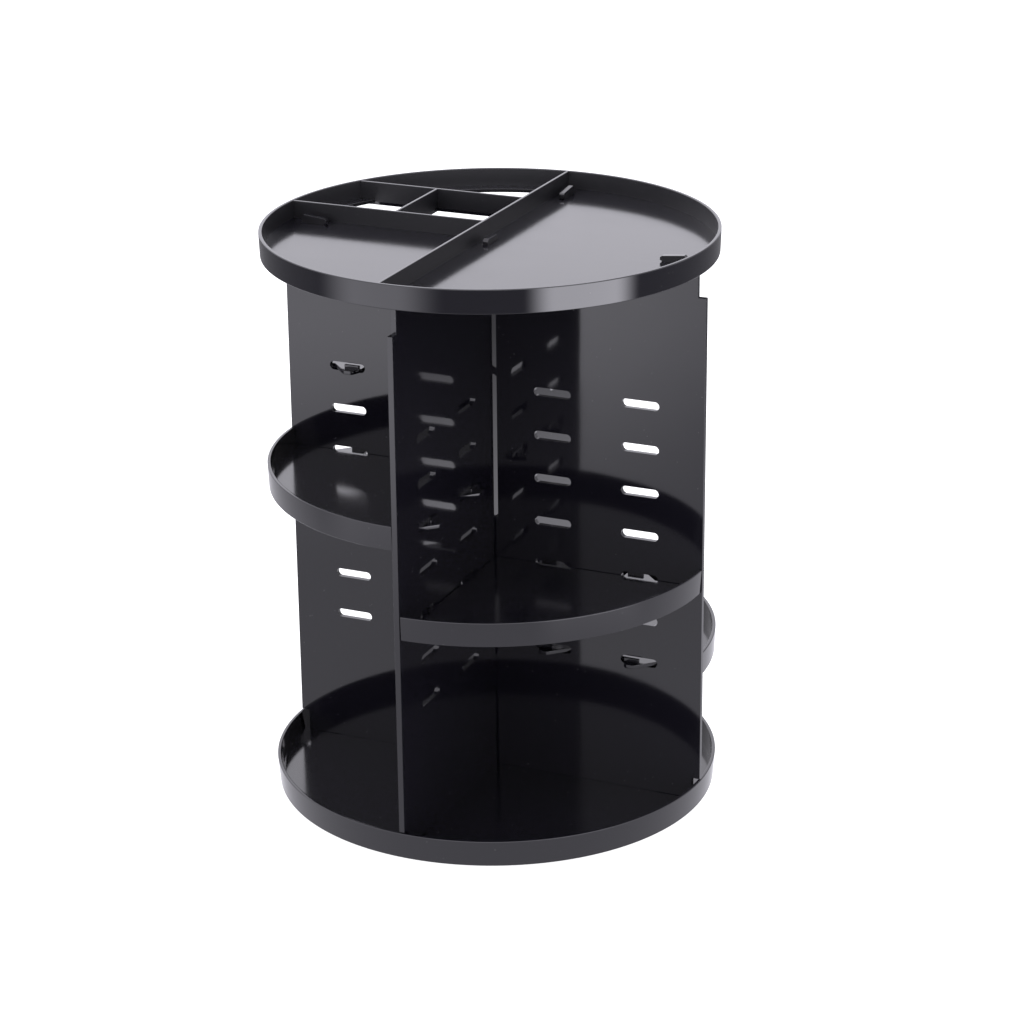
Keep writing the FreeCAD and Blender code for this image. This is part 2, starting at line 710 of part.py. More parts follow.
def make_top_tray(document, d, top_level):
    """Make the compartment tray: three open-bottomed cells at the back left, one open dish."""
    body = new_body(document, "top_tray")
    rim_radius = d["top_rim_radius"]
    rim_top = d["top_rim_height"] - d["skirt_drop"]
    profile = dish_profile(body, d, rim_radius, d["top_rim_height"], d["top_rim_draft"])
    revolve(body, "tray_dish", profile)
    bevel_edges(body, "rim_edge", d["edge_bevel"], lambda edge: is_ring(edge, rim_radius, rim_top))
    half = d["divider_thick"] / 2
    offset = d["divider_offset"]
    opening_radius = rim_radius - d["wall_thick"] - d["open_floor_margin"]
    near = offset + half
    opening = Drawing(body, "floor_opening_outline", height=d["floor_thick"])
    opening.sector((-near, near), opening_radius)
    pocket(body, "floor_opening", opening, d["floor_thick"])
    wall_middle = rim_radius - d["top_rim_draft"] - half
    main_end = other_leg(wall_middle, offset)
    rear_end = other_leg(wall_middle, d["divider_back_offset"])
    side = d["divider_side_offset"]
    back = d["divider_back_offset"]
    skirt = -d["skirt_drop"]
    dividers = [
        ("front_divider", as_size(0), (-offset - half, -offset + half, -main_end, offset)),
        ("long_divider", skirt, (-offset - half, -offset + half, offset - half, main_end)),
        ("cross_divider", skirt, (-main_end, -offset, offset - half, offset + half)),
        ("rear_divider", skirt, (-rear_end, -offset, back - half, back + half)),
        ("short_divider", skirt, (-side - half, -side + half, offset, back)),
    ]
    for name, foot, (left, right, low, high) in dividers:
        outline = Drawing(body, f"{name}_outline", height=foot)
        pad(body, name, outline.rectangle(left, right, low, high), rim_top - foot)
    slots = Drawing(body, "tab_slot_outlines", height=d["floor_thick"])
    for slot in tab_slots(d, ("right", "left", "rear", "front"), key_slot=True):
        slots.rectangle(*slot)
    pocket(body, "tab_slots", slots, d["floor_thick"])
    place(body, top_level)
    return [body]


# Panels


def tab_outline(d, side, root_level, upward, floor):
    """Draw a tab that passes a floor: barbed inner end, sloping tip, cut outer corner."""
    inner = d["tab_place"]
    outer = inner + d["tab_length"]
    corner = d["tab_corner"]
    barb_root = floor + d["barb_gap"]
    shape = [
        (inner, -d["tab_root"]),
        (inner, barb_root),
        (inner - d["barb_reach"], barb_root + d["barb_gap"]),
        (inner - d["barb_reach"], barb_root + d["barb_gap"] + d["barb_land"]),
        (inner, floor + d["tab_rise"]),
        (outer - corner, floor + d["tab_rise"] + d["tab_slope"]),
        (outer, floor + d["tab_rise"] + d["tab_slope"] - corner),
        (outer, -d["tab_root"]),
    ]
    direction = 1 if upward else -1
    return [(x * side, root_level + y * direction) for x, y in shape]


def lap_outline(d, seat, open_end, direction):
    """Draw a lap slot from its seat to the panel's open end, with a pair of grip nubs."""
    slot_side = d["panel_thick"] / 2 + d["lap_play"]
    nub_side = d["panel_thick"] / 2 + d["nub_play"]
    nub = seat + d["nub_place"] * direction
    foot = d["nub_height"] / 2 * direction
    crown = (d["nub_height"] / 2 - d["nub_slope"]) * direction
    side_points = [
        (slot_side, seat),
        (slot_side, nub - foot),
        (nub_side, nub - crown),
        (nub_side, nub + crown),
        (slot_side, nub + foot),
        (slot_side, open_end),
    ]
    return side_points + [(-x, y) for x, y in reversed(side_points)]


def make_panel(document, d, name, plane, lap_from_top, panel_level):
    """Make one of the two crossed panels, standing on the bottom tray's floor."""
    body = new_body(document, name)
    height = panel_height(d)
    reach = d["panel_reach"]
    inner = reach - d["panel_notch"]
    rim_above_floor = d["bottom_rim_height"] - d["skirt_drop"] - d["floor_thick"]
    low_ledge = rim_above_floor + d["panel_rim_gap"]
    high_ledge = height - d["panel_top_notch"]
    right_side = [
        (inner, 0),
        (inner, low_ledge),
        (reach, low_ledge),
        (reach, high_ledge),
        (inner, high_ledge),
        (inner, height),
    ]
    left_side = [(-x, as_size(y)) for x, y in reversed(right_side)]
    outline = Drawing(body, "panel_outline", plane).polygon(right_side + left_side)
    pad(body, "panel_plate", outline, d["panel_thick"], centred=True)
    tabs = Drawing(body, "tab_outlines", plane)
    for side in (1, -1):
        tabs.polygon(tab_outline(d, side, height, True, d["floor_thick"]))
        tabs.polygon(tab_outline(d, side, as_size(0), False, d["floor_thick"]))
    if not lap_from_top:
        half_key = d["key_length"] / 2
        key_top = height + d["floor_thick"] + d["tab_rise"]
        corner = d["tab_corner"]
        tabs.polygon([
            (half_key, height - d["tab_root"]),
            (half_key, key_top - corner),
            (half_key - corner, key_top),
            (corner - half_key, key_top),
            (-half_key, key_top - corner),
            (-half_key, height - d["tab_root"]),
        ])
    pad(body, "panel_tabs", tabs, d["panel_thick"], centred=True)
    lap = Drawing(body, "lap_outline", plane)
    if lap_from_top:
        lap.polygon(lap_outline(d, d["lap_height"], height, 1))
    else:
        lap.polygon(lap_outline(d, d["lap_height"] + d["lap_end_play"], as_size(0), -1))
    pocket(body, "lap_slot", lap, d["panel_thick"] * 2, centred=True)
    slots = Drawing(body, "tray_slot_outlines", plane)
    end_radius = d["slot_height"] / 2
    for slot_place in (d["slot_inner_place"], d["slot_outer_place"]):
        for side in (1, -1):
            slots.slot((slot_place * side, d["row_first"]), d["slot_length"] / 2 - end_radius, end_radius)
    lowest_row = pocket(body, "lowest_tray_slots", slots, d["panel_thick"] * 2, centred=True)
    repeat_up(body, "tray_slots", [lowest_row], d["row_pitch"], d["row_count"])
    place(body, panel_level)
    return [body]


def panel_height(d):
    """Give the panels' height between the two floors."""
    return d["row_first"] + d["row_pitch"] * (d["row_count"] - 1) + d["row_top_margin"]


# Quarter trays


def hook_inner_foot(d, slot_place):
    """Give the place along the panel where a hook's inner side crosses its far face."""
    half_run = (d["slot_length"] - d["slot_height"]) / 2
    return slot_place - half_run - d["hook_end_play"]


def hook_outline(d, slot_place, edge):
    """Draw a hook's tongue in plan for the tray's straight side along X, which lies at y = edge.

    The outer flank leans at 45 degrees, the way the tray slides, so that it clears the slot's end.
    """
    half_run = (d["slot_length"] - d["slot_height"]) / 2
    far_face = -d["panel_thick"] / 2
    tip = far_face - d["hook_reach"]
    flank_foot = slot_place + half_run + d["hook_flank_play"] - d["panel_thick"]
    inner_foot = hook_inner_foot(d, slot_place)
    root_line = edge + d["wall_thick"]
    return [
        (flank_foot + (root_line - far_face), root_line),
        (inner_foot, root_line),
        (inner_foot, far_face),
        (inner_foot + d["hook_taper"], tip),
        (flank_foot - d["hook_reach"], tip),
    ]


def lip_outline(d, slot_place):
    """Draw in plan the lip that stands on a hook's tongue close behind the panel."""
    near = -d["panel_thick"] / 2 - d["hook_lip_gap"]
    far = near - d["hook_lip"]
    inner_foot = hook_inner_foot(d, slot_place)
    lean = d["hook_taper"] / d["hook_reach"]
    outer_end = inner_foot + d["hook_lip_length"]
    return [
        (outer_end, near),
        (inner_foot + lean * d["hook_lip_gap"], near),
        (inner_foot + lean * (d["hook_lip_gap"] + d["hook_lip"]), far),
        (outer_end, far),
    ]


def make_quarter_tray(document, d, name, level, angle):
    """Make a quarter tray in the x > 0, y > 0 quadrant of its own frame, then turn it.

    Its own z = 0 is the middle of the slot row that it hooks into.
    """
    body = new_body(document, name)
    edge = d["panel_thick"] / 2 + d["tray_gap"]
    under = d["hook_seat_gap"] - d["slot_height"] / 2
    floor_top = under + d["tray_floor"]
    low = under - d["tray_skirt"]
    high = floor_top + d["tray_rise"]
    radius = d["tray_radius"]
    low_radius = radius - d["tray_draft"]
    wall = d["wall_thick"]
    slope = d["tray_draft"] / (high - low)
    profile = Drawing(body, "tray_profile", "XZ_Plane").polygon([
        (0, under),
        (low_radius + slope * (under - low) - wall, under),
        (low_radius - wall, low),
        (low_radius, low),
        (radius, high),
        (radius - wall, high),
        (low_radius + slope * (floor_top - low) - wall, floor_top),
        (0, floor_top),
    ])
    revolve(body, "tray_wedge", profile, 90.0)
    strip = Drawing(body, "panel_side_outline", height=high).polygon([
        (-wall, -wall),
        (radius + wall, -wall),
        (radius + wall, edge),
        (edge, edge),
        (edge, radius + wall),
        (-wall, radius + wall),
    ])
    pocket(body, "panel_sides", strip, high - low)
    bevel_edges(body, "rim_edge", d["edge_bevel"], lambda item: is_ring(item, radius, high))
    skirt_end = low_radius - wall / 2
    skirt = Drawing(body, "skirt_outline", height=low).polygon([
        (edge, edge),
        (skirt_end, edge),
        (skirt_end, edge + wall),
        (edge + wall, edge + wall),
        (edge + wall, skirt_end),
        (edge, skirt_end),
    ])
    pad(body, "side_skirt", skirt, d["tray_skirt"])
    tongues = Drawing(body, "hook_outlines", height=under)
    lips = Drawing(body, "lip_outlines", height=floor_top)
    tips = []
    for slot_place in (d["slot_inner_place"], d["slot_outer_place"]):
        tongue = hook_outline(d, slot_place, edge)
        lip = lip_outline(d, slot_place)
        tongues.polygon(tongue)
        tongues.polygon([(y, x) for x, y in reversed(tongue)])
        lips.polygon(lip)
        lips.polygon([(y, x) for x, y in reversed(lip)])
        tips += tongue[-2:] + [(y, x) for x, y in tongue[-2:]]
    pad(body, "hook_tongues", tongues, d["tray_floor"])
    lip_height = d["slot_height"] - d["hook_seat_gap"] - d["hook_head_gap"] - d["tray_floor"]
    pad(body, "hook_lips", lips, lip_height)
    round_edges(body, "hook_tips", d["hook_round"], lambda item: is_upright(item, tips))
    bevel_edges(body, "hook_bevels", d["hook_bevel"], lambda item: is_beyond(item, edge, under))
    place(body, level, angle=angle)
    return [body]


def make_quarter_trays(document, d, panel_level):
    """Make the four quarter trays, which step down round the carousel like a stair."""
    row_step = whole((d["row_count"] - 1) / 3)
    stations = [
        ("quarter_tray_back_left", 3, 90),
        ("quarter_tray_left", 2, 180),
        ("quarter_tray_front", 1, 270),
        ("quarter_tray_right", 0, 0),
    ]
    trays = []
    for name, step, angle in stations:
        level = panel_level + d["row_first"] + d["row_pitch"] * row_step * step
        trays += make_quarter_tray(document, d, name, level, angle)
    return trays


def check(document, parts):
    """Stop when any object of the document failed, or any sub-part has a bad shape."""
    for item in document.Objects:
        failed = [state for state in item.State if state in ("Invalid", "Error")]
        if failed:
            raise RuntimeError(f"{item.Label} is in state {failed}")
    for part in parts:
        if part.Shape.isNull() or not part.Shape.isValid():
            raise RuntimeError(f"{part.Label} has no valid shape")


def main():
    """Build every sub-part, check it and write it to the parts folder."""
    document = FreeCAD.newDocument("rotating_organizer")
    d = write_sheet(document)
    add_derived_sizes(d)
    race_level = d["foot_proud"] + d["base_thick"] + d["race_gap"]
    ball_level = race_level - d["race_gap"] / 2
    tray_level = race_level + d["race_thick"]
    panel_level = tray_level + d["floor_thick"]
    top_level = panel_level + panel_height(d)
    parts = make_base_plate(document, d)
    parts += make_feet(document, d)
    parts += make_ball_cage(document, d, ball_level)
    parts += make_balls(document, d, ball_level)
    parts += make_upper_race(document, d, race_level)
    parts += make_race_screws(document, d, race_level)
    parts += make_pivot(document, d, tray_level - d["hub_height"])
    parts += make_bottom_tray(document, d, tray_level)
    parts += make_panel(document, d, "cross_panel_a", "XZ_Plane", True, panel_level)
    parts += make_panel(document, d, "cross_panel_b", "YZ_Plane", False, panel_level)
    parts += make_top_tray(document, d, top_level)
    parts += make_quarter_trays(document, d, panel_level)
    document.recompute()
    check(document, parts)
    os.makedirs("parts", exist_ok=True)
    for part in parts:
        part.Shape.exportStep(f"parts/{part.Label}.step")
        box = part.Shape.BoundBox
        print(
            f"{part.Label}: {len(part.Shape.Solids)} solid, {part.Shape.Volume:.1f} mm3,"
            f" x {box.XMin:.2f} {box.XMax:.2f}, y {box.YMin:.2f} {box.YMax:.2f},"
            f" z {box.ZMin:.2f} {box.ZMax:.2f}"
        )


main()
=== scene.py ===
import math

import bmesh
import bpy
from mathutils import Matrix, Vector
from mathutils.geometry import tessellate_polygon


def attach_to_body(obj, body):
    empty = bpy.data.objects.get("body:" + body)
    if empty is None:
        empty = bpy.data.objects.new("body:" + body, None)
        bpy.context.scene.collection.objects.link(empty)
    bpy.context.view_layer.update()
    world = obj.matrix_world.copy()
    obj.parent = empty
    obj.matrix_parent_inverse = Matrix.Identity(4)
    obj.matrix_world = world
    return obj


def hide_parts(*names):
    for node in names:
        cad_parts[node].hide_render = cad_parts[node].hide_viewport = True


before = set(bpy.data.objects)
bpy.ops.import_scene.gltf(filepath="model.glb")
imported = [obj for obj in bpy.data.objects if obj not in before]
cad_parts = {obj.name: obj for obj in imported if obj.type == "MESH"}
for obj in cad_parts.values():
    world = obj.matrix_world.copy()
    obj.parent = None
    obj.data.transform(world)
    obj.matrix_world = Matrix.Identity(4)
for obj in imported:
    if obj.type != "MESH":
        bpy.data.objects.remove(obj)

bl_info = {
    "name": "Rotating Vanity Organizer",
    "version": (1, 0, 0),
    "blender": (4, 5, 0),
    "location": "3D View > Sidebar > Organizer",
    "description": "Dresses a carousel organizer: round trays, crossed panels, quarter trays and turntable",
    "category": "Object",
}

MM = 0.001
RING_STEPS = 288
QUARTER_STEPS = RING_STEPS // 4
FOOT_STEPS = 40
SLOT_STEPS = 34
HOOK_STEPS = 5
BEVEL_STEPS = 3
BEVEL_FROM = math.radians(40)
BALL_FINENESS = 3
SHARP_FROM = math.radians(50)
WELD = 1e-6  # corners closer than this are one corner
APART = 0.05 * MM  # step between faces that would otherwise coincide
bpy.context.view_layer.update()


def length(label, description, millimetres):
    """Give a property for a length whose default is stated in millimetres."""
    return bpy.props.FloatProperty(
        name=label, description=description, default=millimetres * MM, unit="LENGTH", precision=5
    )


def amount(label, description, value):
    """Give a property for a plain number."""
    return bpy.props.FloatProperty(name=label, description=description, default=value)


def whole(label, description, value):
    """Give a property for a whole number."""
    return bpy.props.IntProperty(name=label, description=description, default=value)


def turning(label, description, degrees):
    """Give a property for an angle whose default is stated in degrees."""
    return bpy.props.FloatProperty(
        name=label, description=description, default=math.radians(degrees), subtype="ANGLE"
    )


def colour(label, description, value):
    """Give a property for a colour."""
    return bpy.props.FloatVectorProperty(
        name=label, description=description, default=value, subtype="COLOR", size=3, min=0, max=1
    )


class OrganizerSizes(bpy.types.PropertyGroup):
    """Sizes of the visible pieces; heights are above the ground unless said otherwise."""

    wall: length("Wall", "Wall thickness of all trays", 1.8)
    edge_round: length("Edge rounding", "Rounding of the trays' edges", 0.45)
    fine_round: length("Fine rounding", "Rounding of the panels' and hooks' edges", 0.25)
    floor: length("Floor", "Floor thickness of all trays", 2.0)
    skirt: length("Skirt", "Depth of a round tray's rim below its floor", 1.0)
    bottom_level: length("Bottom floor", "Underside of the bottom tray's floor", 8.6)
    bottom_radius: length("Bottom radius", "Outer radius of the bottom tray's rim at its top", 115.7)
    bottom_draft: length("Bottom draft", "How much the bottom rim narrows downwards", 1.1)
    bottom_rise: length("Bottom rim", "Height of the bottom tray's rim above the floor's underside", 12.8)
    top_level: length("Top floor", "Underside of the top tray's floor", 293.8)
    top_radius: length("Top radius", "Outer radius of the top tray's rim at its top", 115.0)
    top_draft: length("Top draft", "How much the top rim narrows downwards", 0.45)
    top_rise: length("Top rim", "Height of the top tray's rim above the floor's underside", 11.2)
    divider: length("Divider", "Thickness of the dividers", 1.5)
    divider_offset: length("Divider offset", "Distance of the main dividers from the axis", 6.0)
    divider_far: length("Far dividers", "Distance of the rear and short dividers from the axis", 55.0)
    opening_margin: length("Floor ledge", "Ledge round the floor opening at the rim", 7.6)
    panel: length("Panel", "Thickness of the crossed panels", 2.8)
    panel_reach: length("Panel reach", "Half width of the panels", 115.2)
    panel_notch: length("Notch width", "Width of the panels' corner notches", 4.3)
    low_ledge: length("Low ledge", "Height of the lower notches above the panel's foot", 11.4)
    high_ledge: length("High ledge", "Height of the upper notches above the panel's foot", 269.0)
    panel_height: length("Panel height", "Height of the panels between the floors", 283.2)
    row_first: length("First row", "Height of the lowest slot row above the panel's foot", 71.9)
    row_pitch: length("Row pitch", "Distance between slot rows", 23.1)
    row_count: whole("Rows", "Number of slot rows", 7)
    slot_inner: length("Inner slots", "Distance of the inner slots from the axis", 33.8)
    slot_outer: length("Outer slots", "Distance of the outer slots from the axis", 81.3)
    slot_length: length("Slot length", "Length of a slot", 20.0)
    slot_height: length("Slot height", "Height of a slot", 4.6)
    lap_height: length("Crossing seat", "Height of the crossing's seat above the panel's foot", 139.6)
    lap_end: length("Crossing play", "Vertical gap between the panels at the crossing", 0.3)
    lap_side: length("Lap half width", "Half width of a lap slot", 3.1)
    nub_side: length("Nub half gap", "Half width of a lap slot between its grip nubs", 1.45)
    nub_place: length("Nub place", "Distance of the grip nubs from the crossing's seat", 78.6)
    nub_foot: length("Nub half foot", "Half height of a grip nub at its foot", 2.3)
    nub_crown: length("Nub half crown", "Half height of a grip nub at its crown", 1.3)
    tab_place: length("Tab place", "Distance of a tab's inner end from the axis", 92.0)
    tab_length: length("Tab length", "Length of a tab", 13.0)
    tab_rise: length("Tab rise", "Height of a tab's inner end beyond the floor", 3.0)
    tab_slope: length("Tab slope", "How much higher a tab's outer end is", 1.2)
    tab_corner: length("Tab corner", "Size of a tab's cut corners", 1.4)
    tab_play: length("Tab play", "Gap round a tab in the floor", 0.3)
    barb: length("Barb", "Overhang of a tab's barb", 1.0)
    barb_gap: length("Barb gap", "Gap between a barb's root and the floor", 0.4)
    barb_land: length("Barb land", "Height of a barb's blunt tip", 1.4)
    key_length: length("Centre tab", "Length of the second panel's centre tab", 12.0)
    tray_radius: length("Tray radius", "Outer radius of a quarter tray's rim at its top", 115.0)
    tray_draft: length("Tray draft", "How much a quarter tray's rim narrows downwards", 0.5)
    tray_under: length("Tray underside", "Underside of a quarter tray's floor from its slot row", -2.0)
    tray_rise: length("Tray rim", "Height of a quarter tray's rim above its floor", 9.4)
    tray_skirt: length("Tray skirt", "Depth of the skirt under a quarter tray's floor", 1.2)
    tray_gap: length("Tray gap", "Gap between a quarter tray and a panel", 0.4)
    hook_reach: length("Hook reach", "Length of a hook behind the panel", 6.3)
    hook_taper: length("Hook taper", "How much a hook's inner flank leans", 2.6)
    hook_flank: length("Hook flank", "Outer flank's reach past the slot's straight run", 0.7)
    hook_end: length("Hook end", "Inner side's reach past the slot's straight run", 0.6)
    hook_lip: length("Hook lip", "Thickness of a hook's upturned lip", 1.6)
    hook_lip_rise: length("Hook lip height", "Height of a hook's upturned lip above its tongue", 1.9)
    hook_lip_gap: length("Hook lip gap", "Gap between a hook's lip and the panel", 0.6)
    hook_lip_length: length("Hook lip length", "Length of a hook's lip along the panel", 9.0)
    hook_round: length("Hook rounding", "Corner rounding of a hook's tip", 2.2)
    foot_circle: length("Foot circle", "Radius of the circle of feet", 80.0)
    foot_radius: length("Foot radius", "Radius of a rubber foot", 6.0)
    foot_height: length("Foot height", "Height of a rubber foot", 2.5)
    foot_count: whole("Feet", "Number of rubber feet", 6)
    screw_count: whole("Race screws", "Number of screws in the upper race", 4)
    ball_circle: length("Ball circle", "Radius of the circle of balls", 60.0)
    ball_radius: length("Ball radius", "Radius of a bearing ball", 2.0)
    ball_level: length("Ball height", "Height of the balls' centres", 4.75)
    ball_count: whole("Balls", "Number of balls", 8)


class OrganizerFinish(bpy.types.PropertyGroup):
    """Colours and gloss of the materials."""

    plastic: colour("Plastic", "Colour of the polished plastic", (0.0048, 0.0045, 0.0068))
    plastic_gloss: amount("Plastic roughness", "Roughness of the clean polished plastic", 0.06)
    scuffing: amount("Scuffing", "Extra roughness of the top tray's inner walls", 0.36)
    level_haze: amount("Level haze", "Extra roughness of the faces that things stand on", 0.065)
    base_plastic: colour("Base plastic", "Colour of the satin plastic", (0.018, 0.018, 0.02))
    rubber: colour("Rubber", "Colour of the feet", (0.03, 0.03, 0.032))
    steel: colour("Steel", "Colour of the balls", (0.62, 0.62, 0.64))
    zinc: colour("Zinc", "Colour of the plated screws", (0.56, 0.58, 0.6))
    acetal: colour("Cage plastic", "Colour of the ball cage", (0.74, 0.74, 0.7))


class OrganizerStage(bpy.types.PropertyGroup):
    """Camera, floor and lights."""

    turn: turning("Turn", "Camera's turn about the object", 24.058)
    elevation: turning("Elevation", "Camera's height angle", 20.652)
    roll: turning("Roll", "Camera's roll", -0.592)
    distance: length("Distance", "Camera's distance from its target", 1547.4)
    target: bpy.props.FloatVectorProperty(
        name="Target", description="Point the camera looks at", default=(0.00864, 0.00386, 0.15206),
        subtype="XYZ", unit="LENGTH",
    )
    lens: amount("Lens", "Focal length in millimetres for a 36 mm sensor", 105.66)
    sky: amount("Sky", "Brightness of the surrounding light", 1.65)
    side_level: amount("Side screen", "Brightness of the grey screen at the right rear", 0.75)
    front_level: amount("Front screen", "Brightness of the screen behind the camera", 2.6)
    left_pool: amount("Left pool", "Brightness of the soft light at the left", 2.0)
    right_pool: amount("Right pool", "Brightness of the soft light at the right", 6.5)
    table_near: amount("Table near", "Brightness of the table beside the object", 1.0)
    table_far: amount("Table far", "Brightness of the table between the pools", 0.25)
    floor_shade: amount("Floor shade", "How much light the floor sends back", 0.4)
    floor_glow: amount("Floor glow", "Brightness of the lit floor itself", 1.0)


# Node networks


class Wire:
    """A socket in a node tree, with arithmetic that adds Math nodes."""

    def __init__(self, tree, socket):
        self.tree = tree
        self.socket = socket

    def join(self, operation, other, reflected=False):
        first, second = (other, self) if reflected else (self, other)
        return self.tree.node("ShaderNodeMath", {"operation": operation}, {0: first, 1: second})

    def __add__(self, other):
        return self.join("ADD", other)

    def __radd__(self, other):
        return self + other

    def __sub__(self, other):
        return self.join("SUBTRACT", other)

    def __rsub__(self, other):
        return self.join("SUBTRACT", other, reflected=True)

    def __mul__(self, other):
        return self.join("MULTIPLY", other)

    def __rmul__(self, other):
        return self * other

    def __lt__(self, other):
        return self.join("LESS_THAN", other)

    def __gt__(self, other):
        return self.join("GREATER_THAN", other)


class Network:
    """A node tree under construction."""

    def __init__(self, tree):
        self.nodes = tree.nodes
        self.links = tree.links

    def node(self, kind, settings, values, output=0):
        """Add any node: its settings first, then the values or links of its sockets."""
        node = self.nodes.new(kind)
        for name, value in settings.items():
            if name == "stops":
                set_stops(node.color_ramp, value)
            else:
                setattr(node, name, value)
        for name, value in values.items():
            for item in value if isinstance(value, list) else [value]:
                self.feed(node.inputs[name], item)
        return Wire(self, node.outputs[output])

    def feed(self, socket, value):
        """Link or set one socket."""
        if isinstance(value, Wire):
            self.links.new(value.socket, socket)
        else:
            socket.default_value = value

    def part(self, vector, axis):
        """Give one number of a vector."""
        return self.node("ShaderNodeSeparateXYZ", {}, {"Vector": vector}, axis)


# A Mix node's sockets for colours, which share their names with those for numbers.
MIX_FACTOR, MIX_FIRST, MIX_SECOND, MIX_RESULT = 0, 6, 7, 2


class Finish(Network):
    """A material under construction."""

    def __init__(self, name):
        self.material = bpy.data.materials.new(name)
        self.material.use_nodes = True
        super().__init__(self.material.node_tree)
        self.nodes.clear()
        self.shader = self.nodes.new("ShaderNodeBsdfPrincipled")
        self.output = self.nodes.new("ShaderNodeOutputMaterial")
        self.links.new(self.shader.outputs["BSDF"], self.output.inputs["Surface"])
        self.place = self.node("ShaderNodeTexCoord", {}, {}, "Object")

    def set(self, name, value):
        """Set or link a socket of the shader."""
        self.feed(self.shader.inputs[name], value)

    def noise(self, scale, detail=2.0, roughness=0.5, place=None):
        """Add a noise texture on object coordinates; scale is in bumps per metre."""
        values = {
            "Vector": place or self.place, "Scale": scale, "Detail": detail, "Roughness": roughness,
        }
        return self.node("ShaderNodeTexNoise", {}, values, "Fac")

    def ramp(self, value, *stops):
        """Map a value through stops of (position, level)."""
        levels = [(position, grey(level)) for position, level in stops]
        return self.node("ShaderNodeValToRGB", {"stops": levels}, {"Fac": value})

    def blend(self, mask, first, second):
        """Mix two colours by a mask."""
        sockets = {MIX_FACTOR: mask, MIX_FIRST: first, MIX_SECOND: second}
        return self.node("ShaderNodeMix", {"data_type": "RGBA"}, sockets, MIX_RESULT)

    def vector_maths(self, operation, first, second=None, output="Vector"):
        """Add a Vector Math node."""
        values = {0: first} if second is None else {0: first, 1: second}
        return self.node("ShaderNodeVectorMath", {"operation": operation}, values, output)

    def eased(self, value, start, end, low, high):
        """Ease from one level to another while a value goes from start to end."""
        values = {"Value": value, "From Min": start, "From Max": end, "To Min": low, "To Max": high}
        return self.node("ShaderNodeMapRange", {"interpolation_type": "SMOOTHSTEP"}, values)

    def bump(self, height, distance, strength=1.0):
        """Feed a height to the shader's normal through a Bump node."""
        values = {"Height": height, "Distance": distance, "Strength": strength}
        self.set("Normal", self.node("ShaderNodeBump", {}, values, "Normal"))

    def clear_where(self, mask):
        """Make the surface clear where a mask is 1."""
        clear = self.node("ShaderNodeBsdfTransparent", {}, {})
        solid = Wire(self, self.shader.outputs["BSDF"])
        mixed = self.node("ShaderNodeMixShader", {}, {0: mask, 1: solid, 2: clear})
        self.feed(self.output.inputs["Surface"], mixed)


def set_stops(ramp, stops):
    """Give a colour ramp its stops."""
    while len(ramp.elements) < len(stops):
        ramp.elements.new(0.5)
    for element, (position, shade) in zip(ramp.elements, stops):
        element.position = position
        element.color = shade


def opaque(rgb):
    """Give a colour with full alpha."""
    return (*rgb, 1.0)


def grey(level):
    """Give an opaque grey."""
    return (level, level, level, 1)


WORN_ABOVE = 0.2945  # height in metres, inside the thickness of the top tray's floor
WORN_WITHIN = 0.1138  # metres from the axis, inside the thickness of the top tray's rim


def hairlines(look):
    """Give fine scratches that run round the object."""
    stretched = look.node("ShaderNodeMapping", {}, {"Vector": look.place, "Scale": (1.0, 1.0, 22.0)})
    streaks = look.noise(170.0, detail=3.0, roughness=0.7, place=stretched)
    return look.ramp(streaks, (0.66, 0.0), (0.74, 1.0))


def dust_specks(look):
    """Give sparse round specks of dust."""
    specks = {"Vector": look.place, "Scale": 420.0, "Randomness": 1.0}
    distance = look.node("ShaderNodeTexVoronoi", {"feature": "F1"}, specks, "Distance")
    rare = look.noise(190.0, detail=1.0) > 0.63
    return (distance < 0.07) * rare


def worn_walls(look, rise):
    """Mark the upright faces inside the top tray; rise is the upward part of the normal."""
    flat = look.vector_maths("MULTIPLY", look.place, (1, 1, 0))
    radius = look.vector_maths("LENGTH", flat, output="Value")
    return (look.part(look.place, "Z") > WORN_ABOVE) * (radius < WORN_WITHIN) * (rise < 0.5)


def polished_plastic(finish):
    """Black moulded plastic: mirror gloss, faint mould ripple, hairlines, wiped smudges and dust."""
    look = Finish("polished_black_plastic")
    smudge = look.ramp(look.noise(26.0, detail=4.0, roughness=0.62), (0.48, 0.0), (0.72, 1.0))
    dust = dust_specks(look)
    look.set("Base Color", look.blend(dust * 0.55, opaque(finish.plastic), grey(0.2)))
    rise = look.part(look.node("ShaderNodeNewGeometry", {}, {}, "True Normal"), "Z")
    haze = look.eased(rise, 0.9, 0.99, 0.0, finish.level_haze)
    gloss = haze + worn_walls(look, rise) * finish.scuffing + finish.plastic_gloss
    look.set("Roughness", gloss + smudge * 0.028 + hairlines(look) * 0.018 + dust * 0.4)
    ripple = look.noise(30.0, detail=1.0) + look.noise(900.0, detail=1.0) * 0.012
    look.bump(ripple, distance=0.00006)
    look.set("IOR", 1.54)
    return look.material


def satin_plastic(finish):
    """Black plastic with the fine spark-eroded grain of hidden faces."""
    look = Finish("satin_black_plastic")
    grain = look.noise(2600.0, detail=2.0)
    wear = look.ramp(look.noise(40.0, detail=3.0), (0.4, 0.0), (0.7, 1.0))
    worn = (0.032, 0.032, 0.034, 1)
    look.set("Base Color", look.blend(wear * 0.35, opaque(finish.base_plastic), worn))
    look.set("Roughness", 0.34 + wear * 0.1 + grain * 0.08)
    look.bump(grain, distance=0.00004, strength=0.8)
    look.set("IOR", 1.52)
    return look.material


